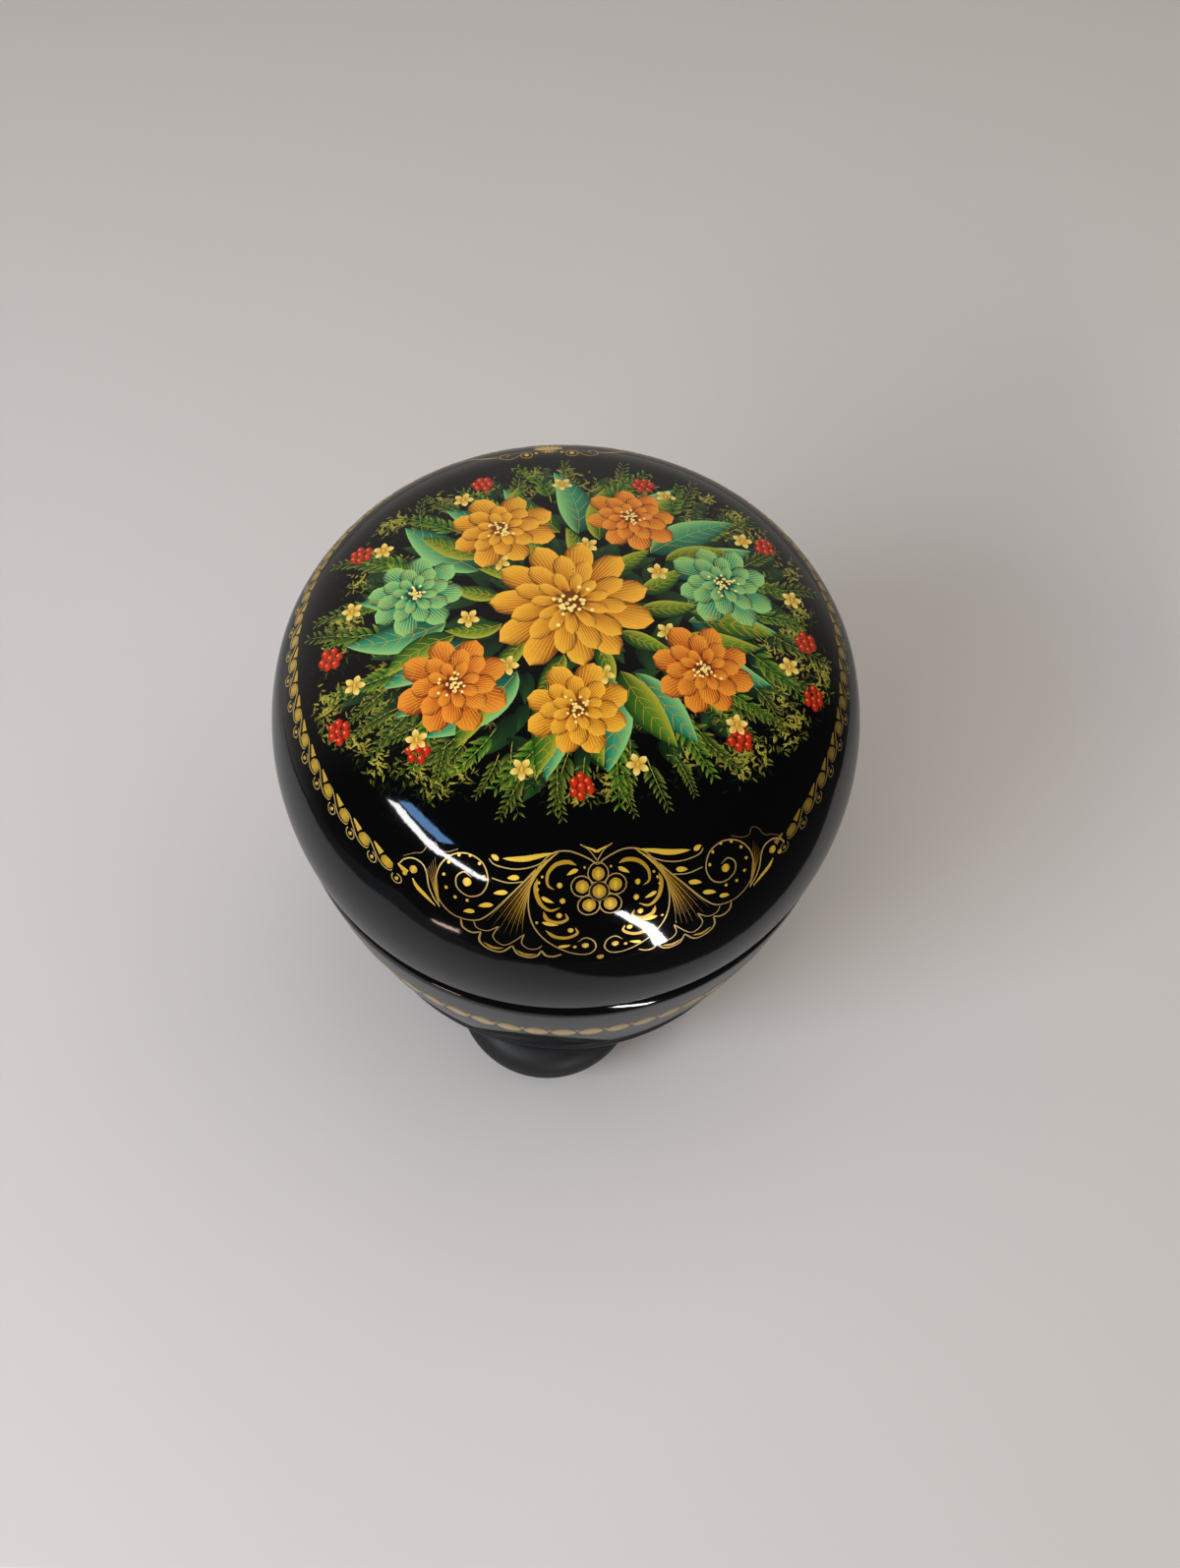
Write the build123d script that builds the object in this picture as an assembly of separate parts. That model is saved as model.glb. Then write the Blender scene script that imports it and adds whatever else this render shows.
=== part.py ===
from build123d import *

import os
from math import cos, radians, sin, sqrt

# Round papier-mache box with a lift-off domed lid, standing on three turned feet.
# Millimetres. Z is the box's axis, the feet stand on Z = 0 and the front foot is towards -Y.

# Lid
lid_radius = 50.0            # widest circle of the lid
lid_widest_rise = 9.7        # widest circle above the seam
lid_side_round = 50.0        # section radius of the bulged side
lid_shoulder_round = 18.0    # section radius of the shoulder
side_tilt = 70.0             # degrees from the axis where side and shoulder meet
crown_tilt = 16.0            # degrees from the axis where shoulder and crown meet
lid_wall = 5.0               # wall at the widest circle
lid_top = 4.0                # board of the crown
lid_edge_round = 3.0         # rounded lower edge, the upper side of the groove at the seam

# Body
body_height = 41.3           # underside of the floor to the seam
body_setback = 0.95          # body inside the lid's widest circle
body_taper = 6.55            # widest circle to the wall's foot, in radius
body_belly = 0.8             # bulge of the wall beyond a straight taper
body_wall = 4.5              # wall at its foot
shoulder_round = 3.3         # section radius of the shoulder, the lower side of that groove
shoulder_drop = 3.25         # height of that shoulder
bead_round = 1.2             # section radius of the bead at the wall's foot
bead_proud = 0.35            # bead beyond the wall

# Floor disc, let into the wall from below
floor_board = 4.0
floor_ledge = 1.5            # width of the ledge that it is glued against

# Inner lip that centres the lid
lip_wall = 2.4
lip_rise = 7.0               # above the seam
lip_depth = 14.0             # below the seam
lip_round = 0.8
lid_play = 0.35              # lip to lid, in radius

# Feet and their dowels
foot_names = ["foot_front", "foot_back_right", "foot_back_left"]
foot_height = 20.0
foot_radius = 18.0           # widest circle
foot_widest_rise = 15.5      # widest circle above the ground
foot_neck = 14.0             # radius against the floor
foot_base = 8.5              # radius on the ground
foot_inset = 14.2            # foot axis inside the wall's foot
dowel_radius = 3.0
dowel_in_floor = 2.5
dowel_in_foot = 10.0

# Heights and radii that follow
seam = foot_height + body_height
lid_bore = lid_radius - lid_wall
lip_outer = lid_bore - lid_play
lip_inner = lip_outer - lip_wall
body_radius = lid_radius - body_setback
body_foot = body_radius - body_taper
floor_radius = body_foot - body_wall + floor_ledge
foot_ring = body_foot - foot_inset


def on_arc(centre, radius, tilt):
    """Point of a section circle where its normal leans by tilt degrees from the axis."""
    angle = radians(tilt)
    return (centre[0] + radius * sin(angle), centre[1] + radius * cos(angle))


def turned(*edges):
    """Solid of revolution about Z from section edges given as radius and height."""
    outline = Curve() + list(edges)
    return revolve(make_face(Plane.XZ * outline), axis=Axis.Z)


def at_height(centre, radius, height):
    """Outer point at which a section circle passes a height."""
    return (centre[0] + sqrt(radius**2 - (height - centre[1]) ** 2), height)


# Section circles of the lid: side, shoulder and crown run into each other smoothly.
side_centre = (lid_radius - lid_side_round, seam + lid_widest_rise)
side_end = on_arc(side_centre, lid_side_round, side_tilt)
shoulder_centre = on_arc(side_end, -lid_shoulder_round, side_tilt)
shoulder_end = on_arc(shoulder_centre, lid_shoulder_round, crown_tilt)
crown_round = shoulder_end[0] / sin(radians(crown_tilt))
crown_centre = (0.0, shoulder_end[1] - crown_round * cos(radians(crown_tilt)))
lid_apex = crown_centre[1] + crown_round
wall_top = side_end[1]


def lid_dome():
    """Crown and shoulder of the lid as one pressed board, standing on the lid's wall."""
    inner_shoulder = lid_shoulder_round - lid_top
    inner_crown = crown_round - lid_top
    inner_foot = at_height(shoulder_centre, inner_shoulder, wall_top)
    inner_end = on_arc(shoulder_centre, inner_shoulder, crown_tilt)
    inner_apex = (0.0, lid_apex - lid_top)
    mid_tilt = (side_tilt + crown_tilt) / 2.0
    return turned(
        ThreePointArc(side_end, on_arc(shoulder_centre, lid_shoulder_round, mid_tilt), shoulder_end),
        ThreePointArc(shoulder_end, on_arc(crown_centre, crown_round, crown_tilt / 2.0), (0.0, lid_apex)),
        Line((0.0, lid_apex), inner_apex),
        ThreePointArc(inner_apex, on_arc(crown_centre, inner_crown, crown_tilt / 2.0), inner_end),
        ThreePointArc(inner_end, on_arc(shoulder_centre, inner_shoulder, mid_tilt), inner_foot),
        Line(inner_foot, side_end),
    )


def lid_ring():
    """Rolled ring under the crown: bulged outside, a plain bore inside, rounded at the seam."""
    edge = at_height(side_centre, lid_side_round, seam)
    ring = turned(
        ThreePointArc(edge, (lid_radius, seam + lid_widest_rise), side_end),
        Line(side_end, (lid_bore, wall_top)),
        Line((lid_bore, wall_top), (lid_bore, seam)),
        Line((lid_bore, seam), edge),
    )
    outer_edge = ring.edges().filter_by(GeomType.CIRCLE).group_by(Axis.Z)[0].sort_by(SortBy.RADIUS)[-1]
    return fillet(outer_edge, lid_edge_round)


def body_ring():
    """Tapering wall with its shoulder, the seat of the lip, the floor's rebate and the foot bead."""
    shoulder_low = (body_radius, seam - shoulder_drop)
    round_centre = (body_radius - shoulder_round, shoulder_low[1])
    shoulder_mid = at_height(round_centre, shoulder_round, seam - shoulder_drop / 2.0)
    rim = at_height(round_centre, shoulder_round, seam)
    bead_r = body_foot + bead_proud - bead_round
    bead_z = foot_height + bead_round
    bead_top = (body_foot, bead_z + sqrt(bead_round**2 - (body_foot - bead_r) ** 2))
    belly = ((shoulder_low[0] + bead_top[0]) / 2.0 + body_belly, (shoulder_low[1] + bead_top[1]) / 2.0)
    floor_top = foot_height + floor_board
    lip_foot = seam - lip_depth
    ledge = floor_radius - floor_ledge
    return turned(
        ThreePointArc(rim, shoulder_mid, shoulder_low),
        ThreePointArc(shoulder_low, belly, bead_top),
        ThreePointArc(bead_top, (bead_r + bead_round, bead_z), (bead_r, foot_height)),
        Polyline(
            (bead_r, foot_height),
            (floor_radius, foot_height),
            (floor_radius, floor_top),
            (ledge, floor_top),
            (lip_inner, lip_foot),
            (lip_outer, lip_foot),
            (lip_outer, seam),
            rim,
        ),
    )


def lip_ring():
    """Plain ring in the body's bore, rounded where it meets the lid."""
    low = seam - lip_depth
    high = seam + lip_rise
    corners = [(lip_inner, low), (lip_outer, low), (lip_outer, high), (lip_inner, high), (lip_inner, low)]
    ring = turned(Polyline(*corners))
    return fillet(ring.edges().filter_by(GeomType.CIRCLE).group_by(Axis.Z)[-1], lip_round)


def foot_places():
    """Foot axes on the ground, the front one first and the others anticlockwise from it."""
    return list(PolarLocations(foot_ring, len(foot_names), start_angle=-90.0, rotate=False))


def dowel():
    """One wooden pin from a foot into the floor."""
    length = dowel_in_foot + dowel_in_floor
    low = foot_height - dowel_in_foot
    return Pos(0, 0, low) * Cylinder(dowel_radius, length, align=(Align.CENTER, Align.CENTER, Align.MIN))


def floor_disc():
    """Flat board with a blind hole for each dowel."""
    board = Pos(0, 0, foot_height) * Cylinder(
        floor_radius, floor_board, align=(Align.CENTER, Align.CENTER, Align.MIN)
    )
    return board - [place * dowel() for place in foot_places()]


def foot():
    """Turned bun foot about Z with its dowel's hole, flat below and above."""
    base = (foot_base, 0.0)
    widest = (foot_radius, foot_widest_rise)
    neck = (foot_neck, foot_height)
    bun = turned(
        TangentArc(widest, base, tangent=(0, -1)),
        TangentArc(widest, neck, tangent=(0, 1)),
        Polyline(neck, (0.0, foot_height), (0.0, 0.0), base),
    )
    return bun - dowel()


def write(name, shape):
    """One STEP file for a node."""
    export_step(shape, os.path.join("parts", name + ".step"))


os.makedirs("parts", exist_ok=True)
write("lid_dome", lid_dome())
write("lid_wall", lid_ring())
write("body_wall", body_ring())
write("body_floor", floor_disc())
write("rim_lip", lip_ring())
for foot_name, place in zip(foot_names, foot_places()):
    write(foot_name, place * foot())
write("foot_dowels", Compound([place * dowel() for place in foot_places()]))
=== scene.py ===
"""Round black lacquer box with a lift-off painted lid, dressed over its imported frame."""

import logging
from dataclasses import dataclass, field
from enum import Enum
from typing import Callable, Optional, Sequence, Union

import bpy
import numpy as np
from mathutils import Matrix, Vector


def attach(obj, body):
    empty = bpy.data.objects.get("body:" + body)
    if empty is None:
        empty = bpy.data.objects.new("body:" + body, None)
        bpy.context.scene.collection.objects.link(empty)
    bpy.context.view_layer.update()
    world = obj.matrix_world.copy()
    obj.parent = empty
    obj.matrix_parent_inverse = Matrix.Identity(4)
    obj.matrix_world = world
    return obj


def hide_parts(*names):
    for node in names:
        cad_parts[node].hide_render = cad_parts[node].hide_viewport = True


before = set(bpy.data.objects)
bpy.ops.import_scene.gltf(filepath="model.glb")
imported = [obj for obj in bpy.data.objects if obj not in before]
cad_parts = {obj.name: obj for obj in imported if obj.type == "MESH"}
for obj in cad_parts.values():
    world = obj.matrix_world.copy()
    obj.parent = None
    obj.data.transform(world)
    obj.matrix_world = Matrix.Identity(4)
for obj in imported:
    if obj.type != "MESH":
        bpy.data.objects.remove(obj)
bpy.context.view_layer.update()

MM = 0.001                      # metres in a millimetre
PAINTING_FRONT = -78.4          # heading of the painting's front in degrees
MIRROR = np.array([-1.0, 1.0])  # turns one side of a drawing into the other
LOG = logging.getLogger("lacquer_box")
Colour = tuple[float, float, float]
Tint = Union[np.ndarray, Colour]    # one colour, or colours along strokes
Amount = Union[np.ndarray, float]   # one value, or values of strokes
Points = Sequence[Sequence[float]]  # rows of a drawing


def pigment(red: float, green: float, blue: float) -> Colour:
    """Linear colour of a paint named by its screen values from 0 to 255."""
    value = np.array([red, green, blue]) / 255.0
    return tuple(np.where(value <= 0.04045, value / 12.92, ((value + 0.055) / 1.055) ** 2.4).tolist())


def scaled(colour: Colour, share: float) -> Colour:
    """A colour made darker or lighter."""
    return tuple(share * part for part in colour)


def compass(angle: np.ndarray) -> np.ndarray:
    """Steps of length 1 in x and y at angles in radians."""
    return np.stack([np.cos(angle), np.sin(angle)], -1)


def swung(angle: np.ndarray) -> np.ndarray:
    """Factors that carry radius, radius and height round the Z axis to angles in radians."""
    return np.stack([np.cos(angle), np.sin(angle), np.ones_like(angle)], -1)


def sampled(where: np.ndarray, known: np.ndarray, rows: np.ndarray) -> np.ndarray:
    """Rows looked up between known places, each column by straight lines."""
    return np.stack([np.interp(where, known, column) for column in rows.T], -1)


def walked(path: np.ndarray) -> np.ndarray:
    """Length walked along a path up to each of its points."""
    return np.concatenate([[0.0], np.cumsum(np.hypot(*np.diff(path, axis=0).T))])


def bell(distance: np.ndarray, width: float) -> np.ndarray:
    """Bell curve: 1 at no distance, falling by e to minus the square of distance over width."""
    return np.exp(-((distance / width) ** 2))


def arc(centre: Sequence[float], radius: float, start: float, end: float, count: int = 60) -> np.ndarray:
    """Points of a section circle between two tilts.

    A tilt is the angle in degrees between the axis and the line from the centre.

    Args:
        centre: Radius and height of the circle's centre.
        radius: The circle's radius.
        start: First tilt.
        end: Last tilt.
        count: Number of points.

    Returns:
        Array of radius and height, one row for each point.
    """
    tilt = np.radians(np.linspace(start, end, count))
    return np.stack([centre[0] + radius * np.sin(tilt), centre[1] + radius * np.cos(tilt)], -1)


def on_arc(centre: Sequence[float], radius: float, tilt: float) -> np.ndarray:
    """The one point of a section circle at a tilt in degrees."""
    return arc(centre, radius, tilt, tilt, 1)[0]


@dataclass(frozen=True)
class Section:
    """Cross-section of a turned piece in millimetres, softened as lacquer softens every corner.

    The outline runs with the open air on its left: outwards from the axis at the top, down the
    outside and back inside. run, at and facing are kept at an even fine step.
    """

    run: np.ndarray
    at: np.ndarray
    facing: np.ndarray
    closed: bool

    @classmethod
    def softened(cls, outline: np.ndarray, closed: bool, soft: float, step: float = 0.05) -> "Section":
        """Section from outline points, each corner rounded by a bell-shaped average.

        The outline is walked at an even step, every point becomes the weighted mean of its
        neighbours, and the facing is the walk's direction turned a quarter to the left.

        Args:
            outline: Radius and height of the outline's points.
            closed: True for a ring, False for an outline that starts and ends on the axis.
            soft: Width of the average.
            step: Distance between points.

        Returns:
            The softened section.
        """
        path = np.vstack([outline, outline[:1]]) if closed else outline
        length = walked(path)
        walk = sampled(np.linspace(0.0, length[-1], int(length[-1] / step) + 1), length, path)
        pad = int(4 * soft / step) + 2
        if closed:
            walk = walk[:-1]
            wide = np.vstack([walk[-pad:], walk, walk[:pad]])
        else:
            wide = np.vstack([walk[pad:0:-1] * MIRROR, walk, walk[-2 : -pad - 2 : -1] * MIRROR])
        weight = np.exp(-0.5 * (np.arange(1 - pad, pad) * step / soft) ** 2)
        weight /= weight.sum()
        mean = np.stack([np.convolve(column, weight, "valid") for column in wide.T], -1)
        along = mean[2:] - mean[:-2]
        along /= np.linalg.norm(along, axis=1, keepdims=True)
        at = mean[1:-1]
        return cls(walked(at), at, np.stack([-along[:, 1], along[:, 0]], -1), closed)

    def thinned(self, turn: float, stretch: float) -> tuple[np.ndarray, np.ndarray, np.ndarray]:
        """Fewer points, closer where the section bends.

        Points are spread evenly over the sum of the bend in units of turn and the length in
        units of stretch.

        Args:
            turn: Bend in degrees that asks for one more point.
            stretch: Length that asks for one more point.

        Returns:
            Points, facings and lengths along the section.
        """
        at, facing, run = self.at, self.facing, self.run
        if self.closed:
            at, facing = (np.vstack([rows, rows[:1]]) for rows in (at, facing))
            run = np.append(run, run[-1] + np.hypot(*(at[-1] - at[-2])))
        bend = np.degrees(np.arccos(np.clip((facing[1:] * facing[:-1]).sum(1), -1.0, 1.0)))
        cost = np.concatenate([[0.0], np.cumsum(bend / turn + np.diff(run) / stretch)])
        pick = np.linspace(0.0, cost[-1], int(cost[-1]) + 2)
        last = -1 if self.closed else None
        few = [sampled(pick, cost, rows)[:last] for rows in (at, facing)]
        return few[0], few[1], np.interp(pick, cost, run)[:last]

    def place(self, angle: np.ndarray, along: np.ndarray, lift: np.ndarray) -> tuple[np.ndarray, np.ndarray]:
        """Points on the turned skin and their normals.

        Args:
            angle: Angle round the axis in radians.
            along: Length along the section from its start.
            lift: Height above the skin.

        Returns:
            Points in millimetres and unit normals, with one more axis than the arguments.
        """
        at, facing = (sampled(along, self.run, rows) for rows in (self.at, self.facing))
        facing /= np.hypot(facing[..., 0], facing[..., 1])[..., None]
        point, normal = (rows[..., [0, 0, 1]] * swung(angle) for rows in (at, facing))
        return point + normal * lift[..., None], normal


def linked(name: str, data: bpy.types.ID) -> bpy.types.Object:
    """New object of this data, in the scene.

    Args:
        name: The object's name.
        data: Its mesh, light or camera.

    Returns:
        The object.
    """
    thing = bpy.data.objects.new(name, data)
    bpy.context.scene.collection.objects.link(thing)
    return thing


@dataclass
class Sheet:
    """Points, faces, normals and named vertex values of one mesh, in millimetres."""

    points: np.ndarray
    faces: list[np.ndarray]
    normals: np.ndarray
    values: dict[str, np.ndarray] = field(default_factory=dict)

    def made(self, name: str, finish: bpy.types.Material) -> bpy.types.Object:
        """Blender object of the sheet, in metres at the origin.

        Args:
            name: The piece's name.
            finish: Its material.

        Returns:
            The linked object.
        """
        mesh = bpy.data.meshes.new(name)
        faces = [face for group in self.faces for face in group.tolist()]
        mesh.from_pydata((self.points * MM).tolist(), [], faces)
        mesh.polygons.foreach_set("use_smooth", np.ones(len(mesh.polygons), bool))
        for key, value in self.values.items():
            colour = value.ndim == 2
            layer = mesh.attributes.new(key, "FLOAT_COLOR" if colour else "FLOAT", "POINT")
            layer.data.foreach_set("color" if colour else "value", value.astype(np.float32).ravel())
        mesh.normals_split_custom_set_from_vertices(self.normals.tolist())
        mesh.materials.append(finish)
        return linked(name, mesh)


def turned(section: Section, sides: int, turn: float, stretch: float) -> tuple[Sheet, np.ndarray]:
    """Surface of revolution: each section point goes round the Z axis as a ring.

    A point is (r cos a, r sin a, z) for the angle a of its column, and an outline that ends on
    the axis closes in a single point there.

    Args:
        section: The softened section.
        sides: Number of columns round the axis.
        turn: Bend in degrees between rows.
        stretch: Length between rows.

    Returns:
        The closed surface, and the length along the section at each of its points.
    """
    at, facing, run = section.thinned(turn, stretch)
    if not section.closed:
        at[[0, -1], 0] = 0.0
        facing[[0, -1], 0] = 0.0
    ring = swung(np.arange(sides) * 2.0 * np.pi / sides)
    points, normals = ((rows[:, None, [0, 0, 1]] * ring).reshape(-1, 3) for rows in (at, facing))
    run = run.repeat(sides)
    index = np.arange(len(points)).reshape(-1, sides)
    after = np.roll(index, -1, 1)
    quads = np.stack([np.roll(index, -1, 0), np.roll(after, -1, 0), after, index], -1)
    if section.closed:
        return Sheet(points, [quads.reshape(-1, 4)], normals), run
    tip, foot = (index[row, :1].repeat(sides) for row in (0, -1))
    caps = np.vstack([np.stack([index[1], after[1], tip], -1), np.stack([foot, after[-2], index[-2]], -1)])
    keep = np.ones(index.shape, bool)
    keep[[0, -1], 1:] = False
    keep = keep.ravel()
    new = np.cumsum(keep) - 1
    faces = [new[quads[1:-2].reshape(-1, 4)], new[caps]]
    return Sheet(points[keep], faces, normals[keep]), run[keep]


class Wire:
    """One value of a finish's node tree, with arithmetic that adds Math nodes."""

    def __init__(self, recipe: "Recipe", socket: bpy.types.NodeSocket) -> None:
        """Keep the tree and the socket that the value comes from."""
        self.recipe = recipe
        self.socket = socket

    def maths(self, operation: str, first: "Value", second: "Value") -> "Wire":
        """Result of a Math node on two operands."""
        return self.recipe.node("ShaderNodeMath", {"operation": operation}, {0: first, 1: second})

    def __add__(self, other: "Value") -> "Wire":
        """Sum."""
        return self.maths("ADD", self, other)

    def __rsub__(self, other: "Value") -> "Wire":
        """Difference from a number."""
        return self.maths("SUBTRACT", other, self)

    def __mul__(self, other: "Value") -> "Wire":
        """Product."""
        return self.maths("MULTIPLY", self, other)

    __radd__ = __add__
    __rmul__ = __mul__

    def above(self, edge: float, width: float) -> "Wire":
        """Smooth step from 0 to 1 where the value passes edge, over width.

        Args:
            edge: Middle of the step.
            width: Its width.

        Returns:
            The mask.
        """
        sockets = {"Value": self, "From Min": edge - width / 2.0, "From Max": edge + width / 2.0}
        return self.recipe.node("ShaderNodeMapRange", {"interpolation_type": "SMOOTHSTEP"}, sockets)


Value = Union[Wire, float, int, Sequence[float]]


class Recipe:
    """Node tree of one material or of the world, built node by node."""

    def __init__(self, name: str, world: bool = False) -> None:
        """Start an empty node tree.

        Args:
            name: Name of the material or world.
            world: True for a world.
        """
        self.owner = (bpy.data.worlds if world else bpy.data.materials).new(name)
        self.owner.use_nodes = True
        self.tree = self.owner.node_tree
        self.tree.nodes.clear()

    def node(
        self,
        kind: str,
        settings: Optional[dict[str, object]] = None,
        sockets: Optional[dict[Union[str, int], Value]] = None,
        output: Union[str, int] = 0,
    ) -> Wire:
        """Any node, its settings first and then the values or links of its sockets.

        Args:
            kind: The node's type.
            settings: Properties by name.
            sockets: Numbers, colours or wires by socket name or place.
            output: Name or place of the output to return.

        Returns:
            That output.
        """
        made = self.tree.nodes.new(kind)
        for key, value in (settings or {}).items():
            setattr(made, key, value)
        for key, value in (sockets or {}).items():
            socket = made.inputs[key]
            if isinstance(value, Wire):
                self.tree.links.new(value.socket, socket)
            else:
                socket.default_value = value
        return Wire(self, made.outputs[output])

    def place(self) -> Wire:
        """Object coordinates in metres."""
        return self.node("ShaderNodeTexCoord", output="Object")

    def ray(self, kind: str) -> Wire:
        """1 for light paths of one kind, such as Is Camera Ray."""
        return self.node("ShaderNodeLightPath", output=kind)

    def towards(self, vector: Wire, heading: float) -> Wire:
        """Length of a vector along a level heading in degrees."""
        level = (*compass(np.radians(heading)).tolist(), 0.0)
        return self.node("ShaderNodeVectorMath", {"operation": "DOT_PRODUCT"}, {0: vector, 1: level}, "Value")

    def noise(self, size: float, detail: float, squeeze: Optional[Colour] = None) -> Wire:
        """Noise whose blotches are about size millimetres across.

        Args:
            size: Width of a blotch.
            detail: Octaves of finer noise.
            squeeze: Factors on the coordinates that draw the blotches out, or none.

        Returns:
            Values about one half.
        """
        where = self.place()
        if squeeze:
            where = self.node("ShaderNodeMapping", {}, {"Vector": where, "Scale": squeeze})
        sockets = {"Vector": where, "Scale": 1.0 / (size * MM), "Detail": detail}
        return self.node("ShaderNodeTexNoise", {}, sockets, "Fac")

    def value(self, name: str) -> Wire:
        """A vertex value of the mesh."""
        return self.node("ShaderNodeAttribute", {"attribute_name": name}, output="Fac")

    def paint(self, shade: Wire) -> Wire:
        """The vertex colour paint times a shade.

        Args:
            shade: Factor on all three parts of the colour.

        Returns:
            The shaded colour.
        """
        tint = self.node("ShaderNodeAttribute", {"attribute_name": "paint"}, output="Color")
        grey = self.node("ShaderNodeCombineColor", {}, {0: shade, 1: shade, 2: shade})
        return self.blend(1.0, tint, grey, "MULTIPLY")

    def blend(self, amount: Value, first: Value, second: Value, how: str = "MIX") -> Wire:
        """Mix of two colours.

        Args:
            amount: Share of the second colour.
            first: First colour.
            second: Second colour.
            how: Blend type.

        Returns:
            The mixed colour.
        """
        pair = [(*c, 1.0) if isinstance(c, tuple) else c for c in (first, second)]
        settings = {"data_type": "RGBA", "blend_type": how}
        return self.node("ShaderNodeMix", settings, {0: amount, 6: pair[0], 7: pair[1]}, 2)

    def bump(self, height: Wire, depth: float) -> Wire:
        """Normal that follows a height, whose unit is depth millimetres."""
        return self.node("ShaderNodeBump", {}, {"Height": height, "Distance": depth * MM, "Strength": 1.0})

    def surface(self, sockets: dict[str, Value]) -> bpy.types.Material:
        """The material, with a Principled surface of these values and links."""
        return self.ended("ShaderNodeOutputMaterial", self.node("ShaderNodeBsdfPrincipled", {}, sockets))

    def ended(self, kind: str, shader: Wire) -> Union[bpy.types.Material, bpy.types.World]:
        """Link a shader to an output node of this kind and hand over the material or world."""
        self.tree.links.new(shader.socket, self.tree.nodes.new(kind).inputs["Surface"])
        return self.owner


class Chart(Enum):
    """How flat painting coordinates lie on a turned skin."""

    DISC = "x to the right, y to the back, distances kept from the crown's top"
    BAND = "x round the skin, y along its section"


def ramp(stops: Sequence[Colour], steps: int) -> np.ndarray:
    """Colours along a stroke, evenly passing through the stops."""
    return sampled(np.linspace(0.0, len(stops) - 1.0, steps), np.arange(len(stops)), np.array(stops))


def swept(start: np.ndarray, angle: Amount, length: Amount, bend: Amount, steps: int) -> np.ndarray:
    """Curved brush paths: forward by t times the length, sideways by bend times the length and t squared.

    Args:
        start: First points, one row for each stroke.
        angle: Headings in radians from x.
        length: Lengths.
        bend: Sideways drift at the end as a share of the length, to the left.
        steps: Points along each stroke.

    Returns:
        Paths as strokes, points and x, y.
    """
    t = np.linspace(0.0, 1.0, steps)
    angle, length, bend = (np.broadcast_to(each, len(start))[:, None] for each in (angle, length, bend))
    ahead, aside = length * t, length * bend * t**2
    x = ahead * np.cos(angle) - aside * np.sin(angle)
    y = ahead * np.sin(angle) + aside * np.cos(angle)
    return start[:, None] + np.stack([x, y], -1)


def fan(start: Sequence[float], angle: np.ndarray, length: np.ndarray, bend: float, steps: int) -> np.ndarray:
    """Strokes that leave one point at several headings in degrees."""
    return swept(np.tile(start, (len(angle), 1)), np.radians(angle), length, bend, steps)


def flowing(points: Points, steps: int) -> np.ndarray:
    """Smooth path through points.

    Between two points the curve is the cubic that leaves and arrives along the line from the
    point before to the point after.

    Args:
        points: Points that the path passes.
        steps: Points along the whole path.

    Returns:
        One path.
    """
    p = np.asarray(points, float)
    slope = np.gradient(p, axis=0)
    where = np.linspace(0.0, len(p) - 1.0, steps)
    k = np.minimum(where.astype(int), len(p) - 2)
    t = (where - k)[:, None]
    start = (2 * t**3 - 3 * t**2 + 1) * p[k] + (t**3 - 2 * t**2 + t) * slope[k]
    end = (3 * t**2 - 2 * t**3) * p[k + 1] + (t**3 - t**2) * slope[k + 1]
    return (start + end)[None]


def headings(path: np.ndarray, pick: Union[np.ndarray, slice]) -> np.ndarray:
    """Headings in radians of strokes at some of their points."""
    slope = np.gradient(path, axis=1)[:, pick]
    return np.arctan2(slope[..., 1], slope[..., 0])


def doubled(path: np.ndarray, lean: float = 0.0) -> np.ndarray:
    """Strokes or places and then their mirror images about x = 0, all let down by lean times x."""
    both = np.concatenate([path, path * MIRROR])
    return both + lean * both[..., :1] * np.array([0.0, 1.0])


def spindle(steps: int, fullness: float = 0.8, skew: float = 0.85) -> np.ndarray:
    """Leaf-shaped width: a half sine wave of t to the skew, raised to the fullness."""
    return np.sin(np.pi * np.linspace(0.0, 1.0, steps) ** skew) ** fullness


def taper(steps: int, start: float, end: float) -> np.ndarray:
    """Line width that swells over start and thins out over end."""
    t = np.linspace(0.0, 1.0, steps)
    return np.minimum(1.0, np.minimum(t / start, (1.0 - t) / end) ** 0.7)


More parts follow.
